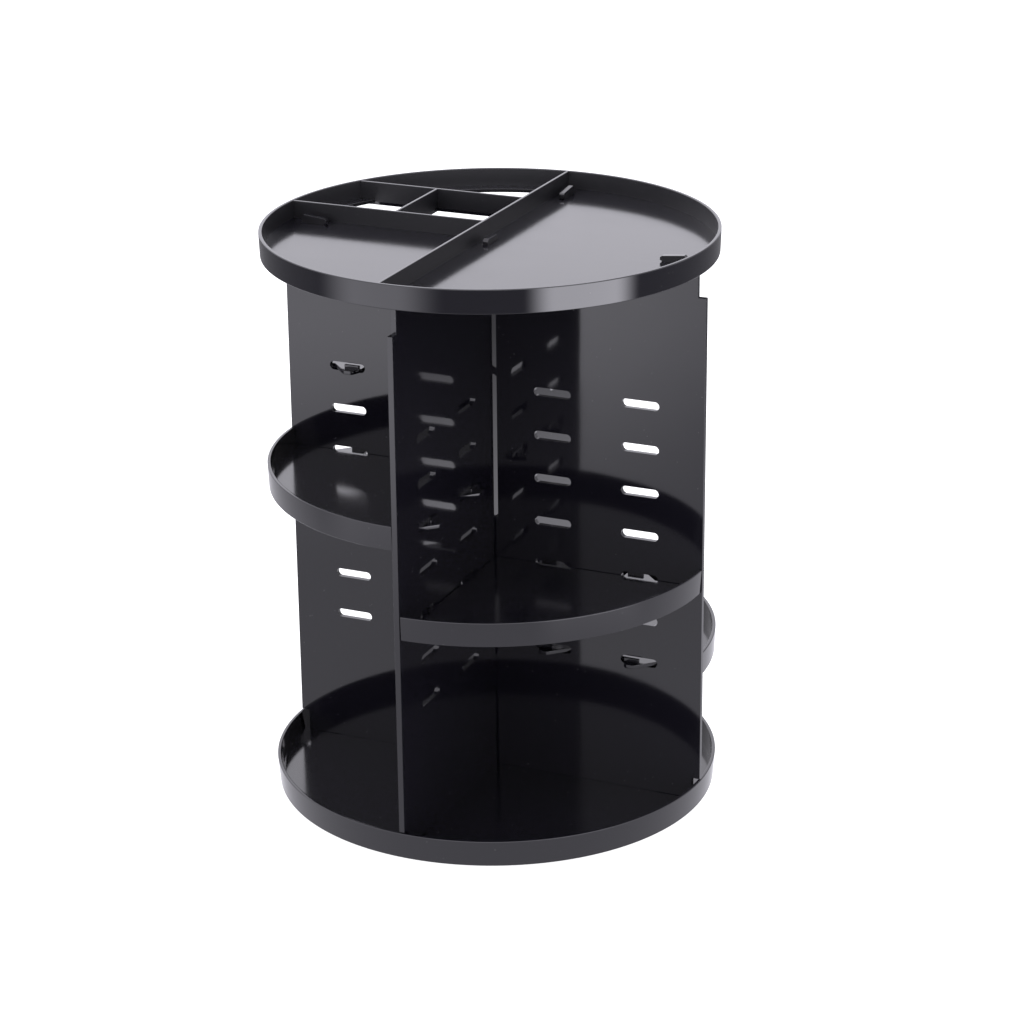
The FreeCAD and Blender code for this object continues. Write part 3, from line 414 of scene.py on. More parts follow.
def foot_rubber(finish):
    """Dark rubber with a chalky bloom."""
    look = Finish("foot_rubber")
    bloom = look.ramp(look.noise(220.0, detail=4.0, roughness=0.6), (0.42, 0.0), (0.75, 1.0))
    look.set("Base Color", look.blend(bloom * 0.4, opaque(finish.rubber), grey(0.075)))
    look.set("Roughness", 0.72 + bloom * 0.16)
    look.bump(look.noise(3200.0, detail=2.0), distance=0.00005, strength=0.7)
    return look.material


def ball_steel(finish):
    """Polished bearing steel with a trace of grease."""
    look = Finish("ball_steel")
    grease = look.ramp(look.noise(420.0, detail=2.0), (0.5, 0.0), (0.7, 1.0))
    look.set("Base Color", look.blend(grease * 0.25, opaque(finish.steel), (0.5, 0.47, 0.38, 1)))
    look.set("Roughness", 0.07 + grease * 0.2)
    look.set("Metallic", 1.0)
    return look.material


def zinc_plate(finish):
    """Zinc plating: bright, slightly blotched metal."""
    look = Finish("zinc_plate")
    blotch = look.noise(700.0, detail=3.0)
    look.set("Base Color", look.blend(blotch * 0.5, opaque(finish.zinc), (0.42, 0.44, 0.48, 1)))
    look.set("Roughness", 0.22 + blotch * 0.2)
    look.set("Metallic", 1.0)
    look.bump(blotch, distance=0.00003, strength=0.5)
    return look.material


def cage_plastic(finish):
    """Natural acetal: waxy white with faint flow marks."""
    look = Finish("cage_plastic")
    flow = look.noise(90.0, detail=3.0)
    look.set("Base Color", look.blend(flow * 0.4, opaque(finish.acetal), (0.66, 0.65, 0.58, 1)))
    look.set("Roughness", 0.38 + flow * 0.12)
    look.bump(look.noise(1500.0, detail=1.0), distance=0.00003, strength=0.5)
    return look.material


MAKERS = {
    "gloss_black": polished_plastic,
    "black_base": satin_plastic,
    "foot_rubber": foot_rubber,
    "ball_steel": ball_steel,
    "zinc_steel": zinc_plate,
    "cage_plastic": cage_plastic,
}


def material_for(slot):
    """Give the material of a record slot, made once."""
    name = f"finish_{slot}"
    if name not in bpy.data.materials:
        material = MAKERS[slot](bpy.context.scene.organizer_finish)
        material.name = name
    return bpy.data.materials[name]


# Outlines and solids

LEAST_SPREAD = 0.5  # squared length of two summed unit normals, where an inset corner stops growing
FLAT_AREA = 1e-14  # twice a triangle's area, in square metres, below which it is left out


def rounded(points, radius, steps=4, corners=None):
    """Round the corners of a closed outline, or only those whose indices are given."""
    result = []
    for index, point in enumerate(points):
        if corners is not None and index not in corners:
            result.append(Vector(point))
            continue
        here = Vector(point)
        back = Vector(points[index - 1]) - here
        ahead = Vector(points[(index + 1) % len(points)]) - here
        half = back.angle(ahead) / 2
        reach = min(radius / math.tan(half), back.length / 2, ahead.length / 2)
        start = here + back.normalized() * reach
        end = here + ahead.normalized() * reach
        middle = here + (back.normalized() + ahead.normalized()).normalized() * (reach / math.cos(half))
        first = start - middle
        last = end - middle
        turn = first.angle_signed(last)
        for step in range(steps + 1):
            result.append(middle + Matrix.Rotation(-turn * step / steps, 2) @ first)
    return result


def arc_points(radius, start, end, steps):
    """Give points on a circle about the axis between two angles, ends included."""
    angles = [start + (end - start) * step / steps for step in range(steps + 1)]
    return [Vector((radius * math.cos(angle), radius * math.sin(angle))) for angle in angles]


def circle_points(radius):
    """Give a closed circle about the axis."""
    return arc_points(radius, 0, 2 * math.pi, RING_STEPS)[:-1]


def signed_area(loop):
    """Give twice the signed area of a closed outline."""
    return sum(a.x * b.y - b.x * a.y for a, b in zip(loop, loop[1:] + loop[:1]))


def inset(loop, distance):
    """Move a closed outline to its left by a distance, with a limit at very sharp corners."""
    moved = []
    for index, point in enumerate(loop):
        back = (point - loop[index - 1]).normalized()
        ahead = (loop[(index + 1) % len(loop)] - point).normalized()
        left_back = Vector((-back.y, back.x))
        left_ahead = Vector((-ahead.y, ahead.x))
        spread = left_back + left_ahead
        moved.append(point + spread * (2 * distance / max(spread.length_squared, LEAST_SPREAD)))
    return moved


def add_plate(mesh, outline, holes, low, high, bevel):
    """Add a flat plate with rounded edges: an outline with holes between two heights."""
    loops = [list(map(Vector, outline))] + [list(map(Vector, hole)) for hole in holes]
    for index, loop in enumerate(loops):
        is_outline = index == 0
        if (signed_area(loop) > 0) != is_outline:
            loop.reverse()
    slant = bevel * (1 - math.sqrt(0.5))
    levels = [(bevel, low), (slant, low + slant), (0, low + bevel)]
    levels += [(0, high - bevel), (slant, high - slant), (bevel, high)]
    rings = []
    for loop in loops:
        stack = []
        for shift, height in levels:
            stack.append([mesh.verts.new((point.x, point.y, height)) for point in inset(loop, shift)])
        for lower, upper in zip(stack, stack[1:]):
            count = len(lower)
            for index in range(count):
                after = (index + 1) % count
                mesh.faces.new((lower[index], lower[after], upper[after], upper[index]))
        rings.append(stack)
    for level, flip in ((0, True), (-1, False)):
        corners = [vertex for stack in rings for vertex in stack[level]]
        flat_loops = [[vertex.co for vertex in stack[level]] for stack in rings]
        for triangle in tessellate_polygon(flat_loops):
            chosen = [corners[index] for index in triangle]
            across = (chosen[1].co - chosen[0].co).cross(chosen[2].co - chosen[0].co)
            if abs(across.z) < FLAT_AREA:
                continue
            if (across.z < 0) != flip:
                chosen.reverse()
            mesh.faces.new(chosen)


def add_ring(mesh, profile, steps=RING_STEPS):
    """Add a closed ring: a closed section of (radius, height) turned about the axis."""
    columns = []
    for step in range(steps):
        angle = 2 * math.pi * step / steps
        across = Vector((math.cos(angle), math.sin(angle)))
        columns.append([mesh.verts.new((across.x * p[0], across.y * p[0], p[1])) for p in profile])
    add_skin(mesh, columns + columns[:1], profile)


def add_quarter_ring(mesh, profile, edge, steps):
    """Add a quarter ring whose ends lie parallel to the panels at a distance from them."""
    columns = []
    for step in range(steps + 1):
        column = []
        for radius, height in profile:
            start = math.asin(edge / radius)
            angle = start + (math.pi / 2 - 2 * start) * step / steps
            column.append(mesh.verts.new((radius * math.cos(angle), radius * math.sin(angle), height)))
        columns.append(column)
    add_skin(mesh, columns, profile)
    counter_clockwise = signed_area([Vector(p) for p in profile]) > 0
    for column, first_end in ((columns[0], True), (columns[-1], False)):
        mesh.faces.new(column if first_end == counter_clockwise else column[::-1])


def add_skin(mesh, columns, profile):
    """Join columns of section points by faces that point outwards."""
    counter_clockwise = signed_area([Vector(p) for p in profile]) > 0
    for left, right in zip(columns, columns[1:]):
        count = len(left)
        for index in range(count):
            after = (index + 1) % count
            corners = (left[index], right[index], right[after], left[after])
            mesh.faces.new(corners if counter_clockwise else corners[::-1])


def add_object(name, geometry):
    """Put a bmesh or a mesh into the scene."""
    mesh = geometry
    if isinstance(geometry, bmesh.types.BMesh):
        mesh = bpy.data.meshes.new(name)
        geometry.to_mesh(mesh)
        geometry.free()
    piece = bpy.data.objects.new(name, mesh)
    bpy.context.scene.collection.objects.link(piece)
    return piece


def bake(piece):
    """Replace an object's mesh by its evaluated one and drop its modifiers."""
    bpy.context.view_layer.update()
    evaluated = piece.evaluated_get(bpy.context.evaluated_depsgraph_get())
    result = bpy.data.meshes.new_from_object(evaluated)
    piece.modifiers.clear()
    piece.data = result
    return piece


def smoothed(piece):
    """Shade an object smooth, with its sharp edges kept and its flats flat."""
    piece.data.polygons.foreach_set("use_smooth", [True] * len(piece.data.polygons))
    piece.data.set_sharp_from_angle(angle=SHARP_FROM)
    piece.modifiers.new("Flats", "WEIGHTED_NORMAL").keep_sharp = True
    return bake(piece)


def attach(piece, slot, body, *nodes):
    """Give a piece its material and its body, and hide the CAD nodes that it stands for."""
    piece.data.materials.clear()
    piece.data.materials.append(material_for(slot))
    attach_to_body(piece, body)
    if nodes:
        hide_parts(*nodes)
    return piece


# Round trays


def rim_section(sizes, radius, draft, rise, level):
    """Give a round tray's rim section with rounded edges, its inner foot sunk in the floor."""
    low = level - sizes.skirt
    high = level + rise
    section = [
        (radius - draft - sizes.wall, low),
        (radius - draft, low),
        (radius, high),
        (radius - sizes.wall, high),
    ]
    return rounded(section, sizes.edge_round)


def tab_holes(sizes, with_key):
    """Give the outlines of the slots in a floor for the panels' tabs."""
    near = sizes.tab_place - sizes.tab_play
    far = sizes.tab_place + sizes.tab_length + sizes.tab_play
    side = sizes.panel / 2 + sizes.tab_play
    boxes = [(near, far, -side, side), (-far, -near, -side, side)]
    boxes += [(-side, side, near, far), (-side, side, -far, -near)]
    if with_key:
        key = sizes.key_length / 2 + sizes.tab_play
        boxes.append((-side, side, -key, key))
    return [rectangle(*box) for box in boxes]


def rectangle(left, right, low, high):
    """Give a rectangle's corners."""
    return [Vector((left, low)), Vector((right, low)), Vector((right, high)), Vector((left, high))]


def make_bottom_tray(sizes):
    """Build the bottom tray: its rim and its floor with the tabs' slots."""
    mesh = bmesh.new()
    level = sizes.bottom_level
    radius = sizes.bottom_radius
    add_ring(mesh, rim_section(sizes, radius, sizes.bottom_draft, sizes.bottom_rise, level))
    floor = circle_points(radius - sizes.bottom_draft - sizes.wall / 2)
    add_plate(mesh, floor, tab_holes(sizes, False), level, level + sizes.floor, sizes.fine_round)
    return smoothed(add_object("bottom_tray_shell", mesh))


def floor_opening(sizes):
    """Give the opening in the top tray's floor under its three cells."""
    near = sizes.divider_offset + sizes.divider / 2
    radius = sizes.top_radius - sizes.wall - sizes.opening_margin
    start = math.pi - math.acos(near / radius)
    end = math.pi - math.asin(near / radius)
    return [Vector((-near, near))] + arc_points(radius, start, end, QUARTER_STEPS)


def make_top_tray(sizes):
    """Build the top tray: rim, floor with its opening and slots, and the dividers."""
    mesh = bmesh.new()
    level = sizes.top_level
    add_ring(mesh, rim_section(sizes, sizes.top_radius, sizes.top_draft, sizes.top_rise, level))
    wall_middle = sizes.top_radius - sizes.top_draft - sizes.wall / 2
    floor = circle_points(wall_middle)
    floor_top = level + sizes.floor
    holes = tab_holes(sizes, True) + [floor_opening(sizes)]
    add_plate(mesh, floor, holes, level, floor_top, sizes.fine_round)
    half = sizes.divider / 2
    offset = sizes.divider_offset
    far = sizes.divider_far
    main_end = math.sqrt(wall_middle ** 2 - (offset + half) ** 2)
    far_end = math.sqrt(wall_middle ** 2 - (far + half) ** 2)
    low = level - sizes.skirt
    high = level + sizes.top_rise - 2 * APART
    long_left = -offset - half
    long_right = -offset + half
    dividers = {
        "long": (long_left, long_right, -main_end, main_end, level + APART, high),
        "long_foot": (
            long_left + APART, long_right - APART, offset - half, main_end - APART, low, floor_top,
        ),
        "left": (-main_end, -offset, offset - half, offset + half, low, high - 2 * APART),
        "rear": (-far_end, -offset, far - half, far + half, low, high - 2 * APART),
        "short": (-far - half, -far + half, offset, far, low, high - 3 * APART),
    }
    for left, right, front, back, foot, crest in dividers.values():
        add_plate(mesh, rectangle(left, right, front, back), [], foot, crest, sizes.fine_round)
    return smoothed(add_object("top_tray_shell", mesh))


class ORGANIZER_OT_round_trays(bpy.types.Operator):
    """Build the bottom tray and the divided top tray"""

    bl_idname = "organizer.round_trays"
    bl_label = "Round Trays"

    def execute(self, context):
        sizes = context.scene.organizer_sizes
        attach(make_bottom_tray(sizes), "gloss_black", "carousel", "bottom_tray")
        attach(make_top_tray(sizes), "gloss_black", "carousel", "top_tray")
        return {"FINISHED"}


# Geometry node trees


class Tree(Network):
    """A geometry node tree under construction."""

    def __init__(self, name, sockets):
        self.group = bpy.data.node_groups.new(name, "GeometryNodeTree")
        super().__init__(self.group)
        interface = self.group.interface
        interface.new_socket("Geometry", in_out="INPUT", socket_type="NodeSocketGeometry")
        interface.new_socket("Geometry", in_out="OUTPUT", socket_type="NodeSocketGeometry")
        for label, kind in sockets.items():
            interface.new_socket(label, in_out="INPUT", socket_type=kind)
        self.source = self.nodes.new("NodeGroupInput")

    def input(self, label):
        """Give one of the tree's named inputs."""
        return Wire(self, self.source.outputs[label])

    def vector(self, x=0.0, y=0.0, z=0.0):
        """Combine three numbers into a vector."""
        return self.node("ShaderNodeCombineXYZ", {}, {"X": x, "Y": y, "Z": z})

    def moved(self, geometry, values):
        """Transform a geometry."""
        return self.node("GeometryNodeTransform", {}, {"Geometry": geometry, **values})

    def finish(self, geometry, material):
        """End the tree in Realize Instances and Set Material."""
        real = self.node("GeometryNodeRealizeInstances", {}, {"Geometry": geometry})
        done = self.node("GeometryNodeSetMaterial", {}, {"Geometry": real, "Material": material})
        self.feed(self.nodes.new("NodeGroupOutput").inputs["Geometry"], done)
        return self.group


def grow(name, geometry, tree, values, bevel=None):
    """Run a tree on a bmesh or a mesh, bevel the result where asked and give the plain object."""
    piece = add_object(name, geometry)
    modifier = piece.modifiers.new("shape", "NODES")
    modifier.node_group = tree
    for item in tree.interface.items_tree:
        if item.in_out == "INPUT" and item.name in values:
            modifier[item.identifier] = values[item.name]
    if bevel:
        rounding = piece.modifiers.new("rounding", "BEVEL")
        for key, value in bevel.items():
            setattr(rounding, key, value)
    return smoothed(bake(piece))


def slotted_panel_tree(material):
    """Build a panel from its outline: a grid of round-ended slots cut out, then a thickness."""
    number = "NodeSocketFloat"
    tree = Tree("slotted_panel", {
        "Rows": "NodeSocketInt", "First Row": number, "Row Pitch": number, "Inner Place": number,
        "Outer Place": number, "Slot Length": number, "Slot Height": number, "Thickness": number,
        "Level": number, "Turn": "NodeSocketVector",
    })
    outline = tree.node("GeometryNodeMeshToCurve", {}, {"Mesh": tree.input("Geometry")})
    radius = tree.input("Slot Height") * 0.5
    run = tree.input("Slot Length") * 0.5 - radius
    circle = tree.node("GeometryNodeCurvePrimitiveCircle", {}, {
        "Resolution": SLOT_STEPS, "Radius": radius,
    })
    across = tree.part(tree.node("GeometryNodeInputPosition", {}, {}), "X")
    side = tree.node("ShaderNodeMath", {"operation": "SIGN"}, {0: across})
    slot = tree.node("GeometryNodeSetPosition", {}, {
        "Geometry": circle, "Offset": tree.vector(side * run),
    })
    rows = tree.input("Rows")
    height = (rows - 1.0) * tree.input("Row Pitch")
    middle = tree.input("First Row") + height * 0.5
    inner = tree.input("Inner Place")
    outer = tree.input("Outer Place")
    grid = tree.node("GeometryNodeMeshGrid", {}, {
        "Size X": outer - inner, "Size Y": height, "Vertices X": 2, "Vertices Y": rows,
    })
    centre = (inner + outer) * 0.5
    right = tree.moved(grid, {"Translation": tree.vector(centre, middle)})
    left = tree.moved(grid, {"Translation": tree.vector(centre * -1.0, middle)})
    places = tree.node("GeometryNodeJoinGeometry", {}, {"Geometry": [right, left]})
    slots = tree.node("GeometryNodeInstanceOnPoints", {}, {"Points": places, "Instance": slot})
    curves = tree.node("GeometryNodeRealizeInstances", {}, {"Geometry": slots})
    loops = tree.node("GeometryNodeJoinGeometry", {}, {"Geometry": [outline, curves]})
    face = tree.node("GeometryNodeFillCurve", {"mode": "NGONS"}, {"Curve": loops})
    front = tree.node("GeometryNodeExtrudeMesh", {"mode": "FACES"}, {
        "Mesh": face, "Offset Scale": tree.input("Thickness"), "Individual": False,
    })
    back = tree.node("GeometryNodeFlipFaces", {}, {"Mesh": face})
    shell = tree.node("GeometryNodeJoinGeometry", {}, {"Geometry": [front, back]})
    closed = tree.node("GeometryNodeMergeByDistance", {}, {"Geometry": shell, "Distance": WELD})
    back_by = tree.input("Thickness") * -0.5
    centred = tree.moved(closed, {"Translation": tree.vector(0.0, 0.0, back_by)})
    upright = tree.moved(centred, {
        "Translation": tree.vector(0.0, 0.0, tree.input("Level")), "Rotation": tree.input("Turn"),
    })
    return tree.finish(upright, material)


def ring_tree(name, material):
    """Build a ring of copies of the modifier's own mesh about the axis."""
    tree = Tree(name, {
        "Count": "NodeSocketInt", "Circle": "NodeSocketFloat", "Height": "NodeSocketFloat",
    })
    spots = tree.node("GeometryNodeMeshCircle", {}, {
        "Vertices": tree.input("Count"), "Radius": tree.input("Circle"),
    })
    copies = tree.node("GeometryNodeInstanceOnPoints", {}, {
        "Points": spots, "Instance": tree.input("Geometry"),
    })
    lifted = tree.moved(copies, {"Translation": tree.vector(0.0, 0.0, tree.input("Height"))})
    return tree.finish(lifted, material)


# Panels


def lap_side(sizes, seat, direction, open_end):
    """Give the right side of a lap slot from its seat to its open end, with the grip nub."""
    nub = seat + sizes.nub_place * direction
    foot = sizes.nub_foot * direction
    crown = sizes.nub_crown * direction
    return [
        (sizes.lap_side, seat), (sizes.lap_side, nub - foot), (sizes.nub_side, nub - crown),
        (sizes.nub_side, nub + crown), (sizes.lap_side, nub + foot), (sizes.lap_side, open_end),
    ]


def tab_side(sizes, foot, direction):
    """Give a tab's outline from its inner to its outer root."""
    inner = sizes.tab_place
    outer = inner + sizes.tab_length
    root = sizes.floor + sizes.barb_gap
    barb = inner - sizes.barb
    barb_low = root + sizes.barb_gap
    inner_top = sizes.floor + sizes.tab_rise
    outer_top = inner_top + sizes.tab_slope
    points = [
        (inner, 0), (inner, root), (barb, barb_low), (barb, barb_low + sizes.barb_land),
        (inner, inner_top), (outer - sizes.tab_corner, outer_top),
        (outer, outer_top - sizes.tab_corner), (outer, 0),
    ]
    return [(x, foot + y * direction) for x, y in points]


def panel_outline(sizes, lap_from_top):
    """Give a panel's outline, counter-clockwise, with its tabs, notches and lap slot."""
    height = sizes.panel_height
    inner = sizes.panel_reach - sizes.panel_notch
    if lap_from_top:
        bottom = []
        top = lap_side(sizes, sizes.lap_height, 1, height)[::-1]
    else:
        bottom = lap_side(sizes, sizes.lap_height + sizes.lap_end, -1, 0)
        key_top = height + sizes.floor + sizes.tab_rise
        half_key = sizes.key_length / 2
        corner = sizes.tab_corner
        top = [(half_key, height), (half_key, key_top - corner), (half_key - corner, key_top)]
    right = bottom + tab_side(sizes, 0, -1) + [
        (inner, 0), (inner, sizes.low_ledge), (sizes.panel_reach, sizes.low_ledge),
        (sizes.panel_reach, sizes.high_ledge), (inner, sizes.high_ledge), (inner, height),
    ] + tab_side(sizes, height, 1)[::-1] + top
    return right + [(-x, y) for x, y in reversed(right)]


def outline_mesh(name, points):
    """Give a mesh of one closed line."""
    count = len(points)
    mesh = bpy.data.meshes.new(name)
    lines = [(index, (index + 1) % count) for index in range(count)]
    mesh.from_pydata([(x, y, 0) for x, y in points], lines, [])
    return mesh


class ORGANIZER_OT_panels(bpy.types.Operator):
    """Build the two crossed panels with their rows of slots"""

    bl_idname = "organizer.panels"
    bl_label = "Crossed Panels"

    def execute(self, context):
        sizes = context.scene.organizer_sizes
        tree = slotted_panel_tree(material_for("gloss_black"))
        upright = math.pi / 2
        bevel = {
            "width": sizes.fine_round, "segments": BEVEL_STEPS,
            "limit_method": "ANGLE", "angle_limit": BEVEL_FROM,
        }
        for name, from_top, turn in (("cross_panel_a", True, 0.0), ("cross_panel_b", False, upright)):
            values = {
                "Rows": sizes.row_count, "First Row": sizes.row_first, "Row Pitch": sizes.row_pitch,
                "Inner Place": sizes.slot_inner, "Outer Place": sizes.slot_outer,
                "Slot Length": sizes.slot_length, "Slot Height": sizes.slot_height,
                "Thickness": sizes.panel, "Level": sizes.bottom_level + sizes.floor,
                "Turn": (upright, 0.0, turn),
            }
            outline = outline_mesh(name, panel_outline(sizes, from_top))
            piece = grow(f"{name}_shell", outline, tree, values, bevel)
            attach(piece, "gloss_black", "carousel", name)
        return {"FINISHED"}


# Quarter trays


def hook_side(sizes, place, edge):
    """Give the outline of a hook across the straight side at y = edge, from its inner root."""
    half_run = (sizes.slot_length - sizes.slot_height) / 2
    face = -sizes.panel / 2
    tip = face - sizes.hook_reach
    flank = place + half_run + sizes.hook_flank - sizes.panel
    inner = place - half_run - sizes.hook_end
    return [
        (inner, edge), (inner, face), (inner + sizes.hook_taper, tip), (flank - sizes.hook_reach, tip),
        (flank + edge - face, edge),
    ]


def lip_side(sizes, place):
    """Give the outline of a hook's upturned lip."""
    inner, face = hook_side(sizes, place, 0)[1]
    near = face - sizes.hook_lip_gap
    far = near - sizes.hook_lip
    lean = sizes.hook_taper / sizes.hook_reach
    outer = inner + sizes.hook_lip_length
    return [
        (inner + lean * (face - near), near), (inner + lean * (face - far), far),
        (outer, far), (outer, near),
    ]


def mirrored(points):
    """Mirror an outline in the quadrant's bisector, in reverse order."""
    return [Vector((point.y, point.x)) for point in reversed(points)]


def make_quarter_tray(sizes, name, row, degrees):
    """Build a quarter tray in the first quadrant, then lift it to its slot row and turn it."""
    mesh = bmesh.new()
    edge = sizes.panel / 2 + sizes.tray_gap
    under = sizes.tray_under
    top = under + sizes.floor
    low = under - sizes.tray_skirt
    high = top + sizes.tray_rise
    radius = sizes.tray_radius
    foot_radius = radius - sizes.tray_draft
    section = [
        (foot_radius - sizes.wall, low),
        (foot_radius, low),
        (radius, high),
        (radius - sizes.wall, high),
    ]
    add_quarter_ring(mesh, rounded(section, sizes.edge_round), edge, QUARTER_STEPS)
    floor_radius = foot_radius - sizes.wall / 2
    side = [Vector((edge, edge))]
    for place in (sizes.slot_inner, sizes.slot_outer):
        side += rounded(hook_side(sizes, place, edge), sizes.hook_round, HOOK_STEPS, (2, 3))
    start = math.asin(edge / floor_radius)
    outline = side + arc_points(floor_radius, start, math.pi / 2 - start, QUARTER_STEPS)
    outline += mirrored(side[1:])
    add_plate(mesh, outline, [], under, top, sizes.fine_round)
    lip_foot = under + sizes.fine_round
    lip_crest = top + sizes.hook_lip_rise
    for place in (sizes.slot_inner, sizes.slot_outer):
        lip = rounded(lip_side(sizes, place), sizes.edge_round)
        for loop in (lip, mirrored(lip)):
            add_plate(mesh, loop, [], lip_foot, lip_crest, sizes.fine_round)
    end = floor_radius
    inner = edge + sizes.wall
    skirt = [(edge, edge), (end, edge), (end, inner), (inner, inner), (inner, end), (edge, end)]
    add_plate(mesh, skirt, [], low, under + sizes.fine_round, sizes.fine_round)
    level = sizes.bottom_level + sizes.floor + sizes.row_first + sizes.row_pitch * row
    mesh.transform(Matrix.Translation((0, 0, level)) @ Matrix.Rotation(math.radians(degrees), 4, "Z"))
    return smoothed(add_object(f"{name}_shell", mesh))


# Slot row, counted from 0 at the bottom, and turn in degrees of each quarter tray.
TRAY_PLACES = {"right": (0, 0), "front": (2, 270), "left": (4, 180), "back_left": (6, 90)}


class ORGANIZER_OT_quarter_trays(bpy.types.Operator):
    """Build the four quarter trays with their hooks"""

    bl_idname = "organizer.quarter_trays"
    bl_label = "Quarter Trays"

    def execute(self, context):
        sizes = context.scene.organizer_sizes
        for side, (row, degrees) in TRAY_PLACES.items():
            node = f"quarter_tray_{side}"
            attach(make_quarter_tray(sizes, node, row, degrees), "gloss_black", f"{node}_body", node)
        return {"FINISHED"}


# Turntable


# Finishes of the nodes that keep the mesh they were given.
KEPT_NODES = {
    "base_plate": "black_base",
    "upper_race": "black_base",
    "ball_cage": "cage_plastic",
    "pivot_washer": "zinc_steel",
    "pivot_screw": "zinc_steel",
}


def numbered(stem, number):
    """Give the names of nodes that are numbered from 1."""
    return [f"{stem}_{index}" for index in range(1, number + 1)]


def make_feet(sizes):
    """Build the ring of rubber feet."""
    foot = bmesh.new()
    radius = sizes.foot_radius
    height = sizes.foot_height
    half = [(0, 0), (radius, 0), (radius, height), (0, height)]
    add_ring(foot, rounded(half, sizes.edge_round, corners=(1, 2)), FOOT_STEPS)
    bmesh.ops.remove_doubles(foot, verts=foot.verts, dist=WELD)
    tree = ring_tree("ring_of_feet", material_for("foot_rubber"))
    values = {"Count": sizes.foot_count, "Circle": sizes.foot_circle, "Height": 0.0}
    return grow("foot_pads", foot, tree, values)


def make_balls(sizes):
    """Build the ring of bearing balls."""
    ball = bmesh.new()
    bmesh.ops.create_icosphere(ball, subdivisions=BALL_FINENESS, radius=sizes.ball_radius)
    tree = ring_tree("ring_of_balls", material_for("ball_steel"))
    values = {"Count": sizes.ball_count, "Circle": sizes.ball_circle, "Height": sizes.ball_level}
    return grow("ball_set", ball, tree, values)


class ORGANIZER_OT_turntable(bpy.types.Operator):
    """Build the feet and the bearing balls and finish the turntable's plates and screws"""

    bl_idname = "organizer.turntable"
    bl_label = "Turntable"

    def execute(self, context):
        sizes = context.scene.organizer_sizes
        attach(make_feet(sizes), "foot_rubber", "base", *numbered("foot_pad", sizes.foot_count))
        attach(make_balls(sizes), "ball_steel", "ball_ring", "bearing_balls")
        kept = dict(KEPT_NODES)
        kept.update({node: "zinc_steel" for node in numbered("race_screw", sizes.screw_count)})
        for node, slot in kept.items():
            for material_slot in bpy.data.objects[node].material_slots:
                material_slot.material = material_for(slot)
        return {"FINISHED"}


# Stage


FLOOR_REACH = 8.0  # from the axis to the floor's edge
TABLE_REACH = 7.0
HAIR = 0.0001  # step between sheets that lie on each other
LIGHT_TINT = (1.0, 0.985, 1.07, 1.0)
FIBRE_LIFT = 1.02  # how much more light the paper's fibres send back
SENSOR = 36.0  # width of the camera's sensor in millimetres
SIGHT = 50.0  # how far the camera sees, in metres


def floor_material(stage):
    """Give the plain pale floor its paper, which is clear from below."""
    look = Finish("studio_paper")
    shade = stage.floor_shade
    fibres = look.noise(60.0, detail=3.0)
    look.set("Base Color", look.blend(fibres, grey(shade), grey(shade * FIBRE_LIFT)))
    look.set("Roughness", 0.95)
    look.set("Specular IOR Level", 0.0)
    look.set("Emission Color", grey(1))
    look.set("Emission Strength", stage.floor_glow)
    look.clear_where(look.node("ShaderNodeNewGeometry", {}, {}, "Backfacing"))
    return look.material


def flat_sheet(half_side, height):
    """Give a flat square sheet about the axis."""
    sheet = bmesh.new()
    bmesh.ops.create_grid(sheet, x_segments=1, y_segments=1, size=half_side)
    bmesh.ops.translate(sheet, vec=(0, 0, height), verts=sheet.verts)
    return sheet


def lay_floor(stage):
    """Lay the floor, which reflections don't see."""
    floor = add_object("studio_floor", flat_sheet(FLOOR_REACH, -HAIR))
    floor.data.materials.append(floor_material(stage))
    floor.visible_glossy = False


def place_camera(stage):
    """Place the camera on its sphere about the target."""
    data = bpy.data.cameras.new("studio_camera")
    data.lens = stage.lens
    data.sensor_width = SENSOR
    data.clip_end = SIGHT
    camera = bpy.data.objects.new("studio_camera", data)
    bpy.context.scene.collection.objects.link(camera)
    flat = math.cos(stage.elevation)
    away = Vector((
        math.sin(stage.turn) * flat, -math.cos(stage.turn) * flat, math.sin(stage.elevation),
    ))
    camera.location = Vector(stage.target) + away * stage.distance
    look = away.to_track_quat("Z", "Y")
    camera.rotation_mode = "QUATERNION"
    camera.rotation_quaternion = look @ Matrix.Rotation(stage.roll, 3, "Z").to_quaternion()
    bpy.context.scene.camera = camera


# Soft pools of light on the table, which only reflections see: azimuth of the middle from the camera's
# side, half width of the even part and of the whole in degrees, and the property with the level.
POOLS = (
    (-55, 10, 35, "left_pool"),
    (45, 15, 30, "right_pool"),
)
POOL_START = 0.3  # distance from the axis where the pools begin to show
POOL_FULL = 0.9

# Screens that only reflections see: azimuth in degrees, distance from the axis, where the level at the
# centre ends and where the sky's begins, lower and upper edge, and the property with the level.
SCREENS = {
    "side_screen": (130, 1.5, (0.3, 0.95), (0.01, 3.2), "side_level"),
    "front_screen": (15, 1.2, (0.9, 1.7), (0.35, 1.6), "front_level"),
}


def toward(stage, azimuth, reach):
    """Give the point on the ground at an azimuth counted from the camera's side."""
    turn = stage.turn + math.radians(azimuth)
    return Vector((math.sin(turn) * reach, -math.cos(turn) * reach, 0))


def lamp_card(name, mesh, look, level):
    """Add a surface that only reflections see, with a brightness that varies over it."""
    tinted = {0: LIGHT_TINT[:3], "Scale": level}
    look.set("Base Color", grey(0))
    look.set("Specular IOR Level", 0.0)
    glow = look.node("ShaderNodeVectorMath", {"operation": "SCALE"}, tinted, "Vector")
    look.set("Emission Color", glow)
    look.set("Emission Strength", 1.0)
    card = add_object(name, mesh)
    card.data.materials.append(look.material)
    for ray in ("camera", "diffuse", "transmission", "volume_scatter", "shadow"):
        setattr(card, f"visible_{ray}", False)


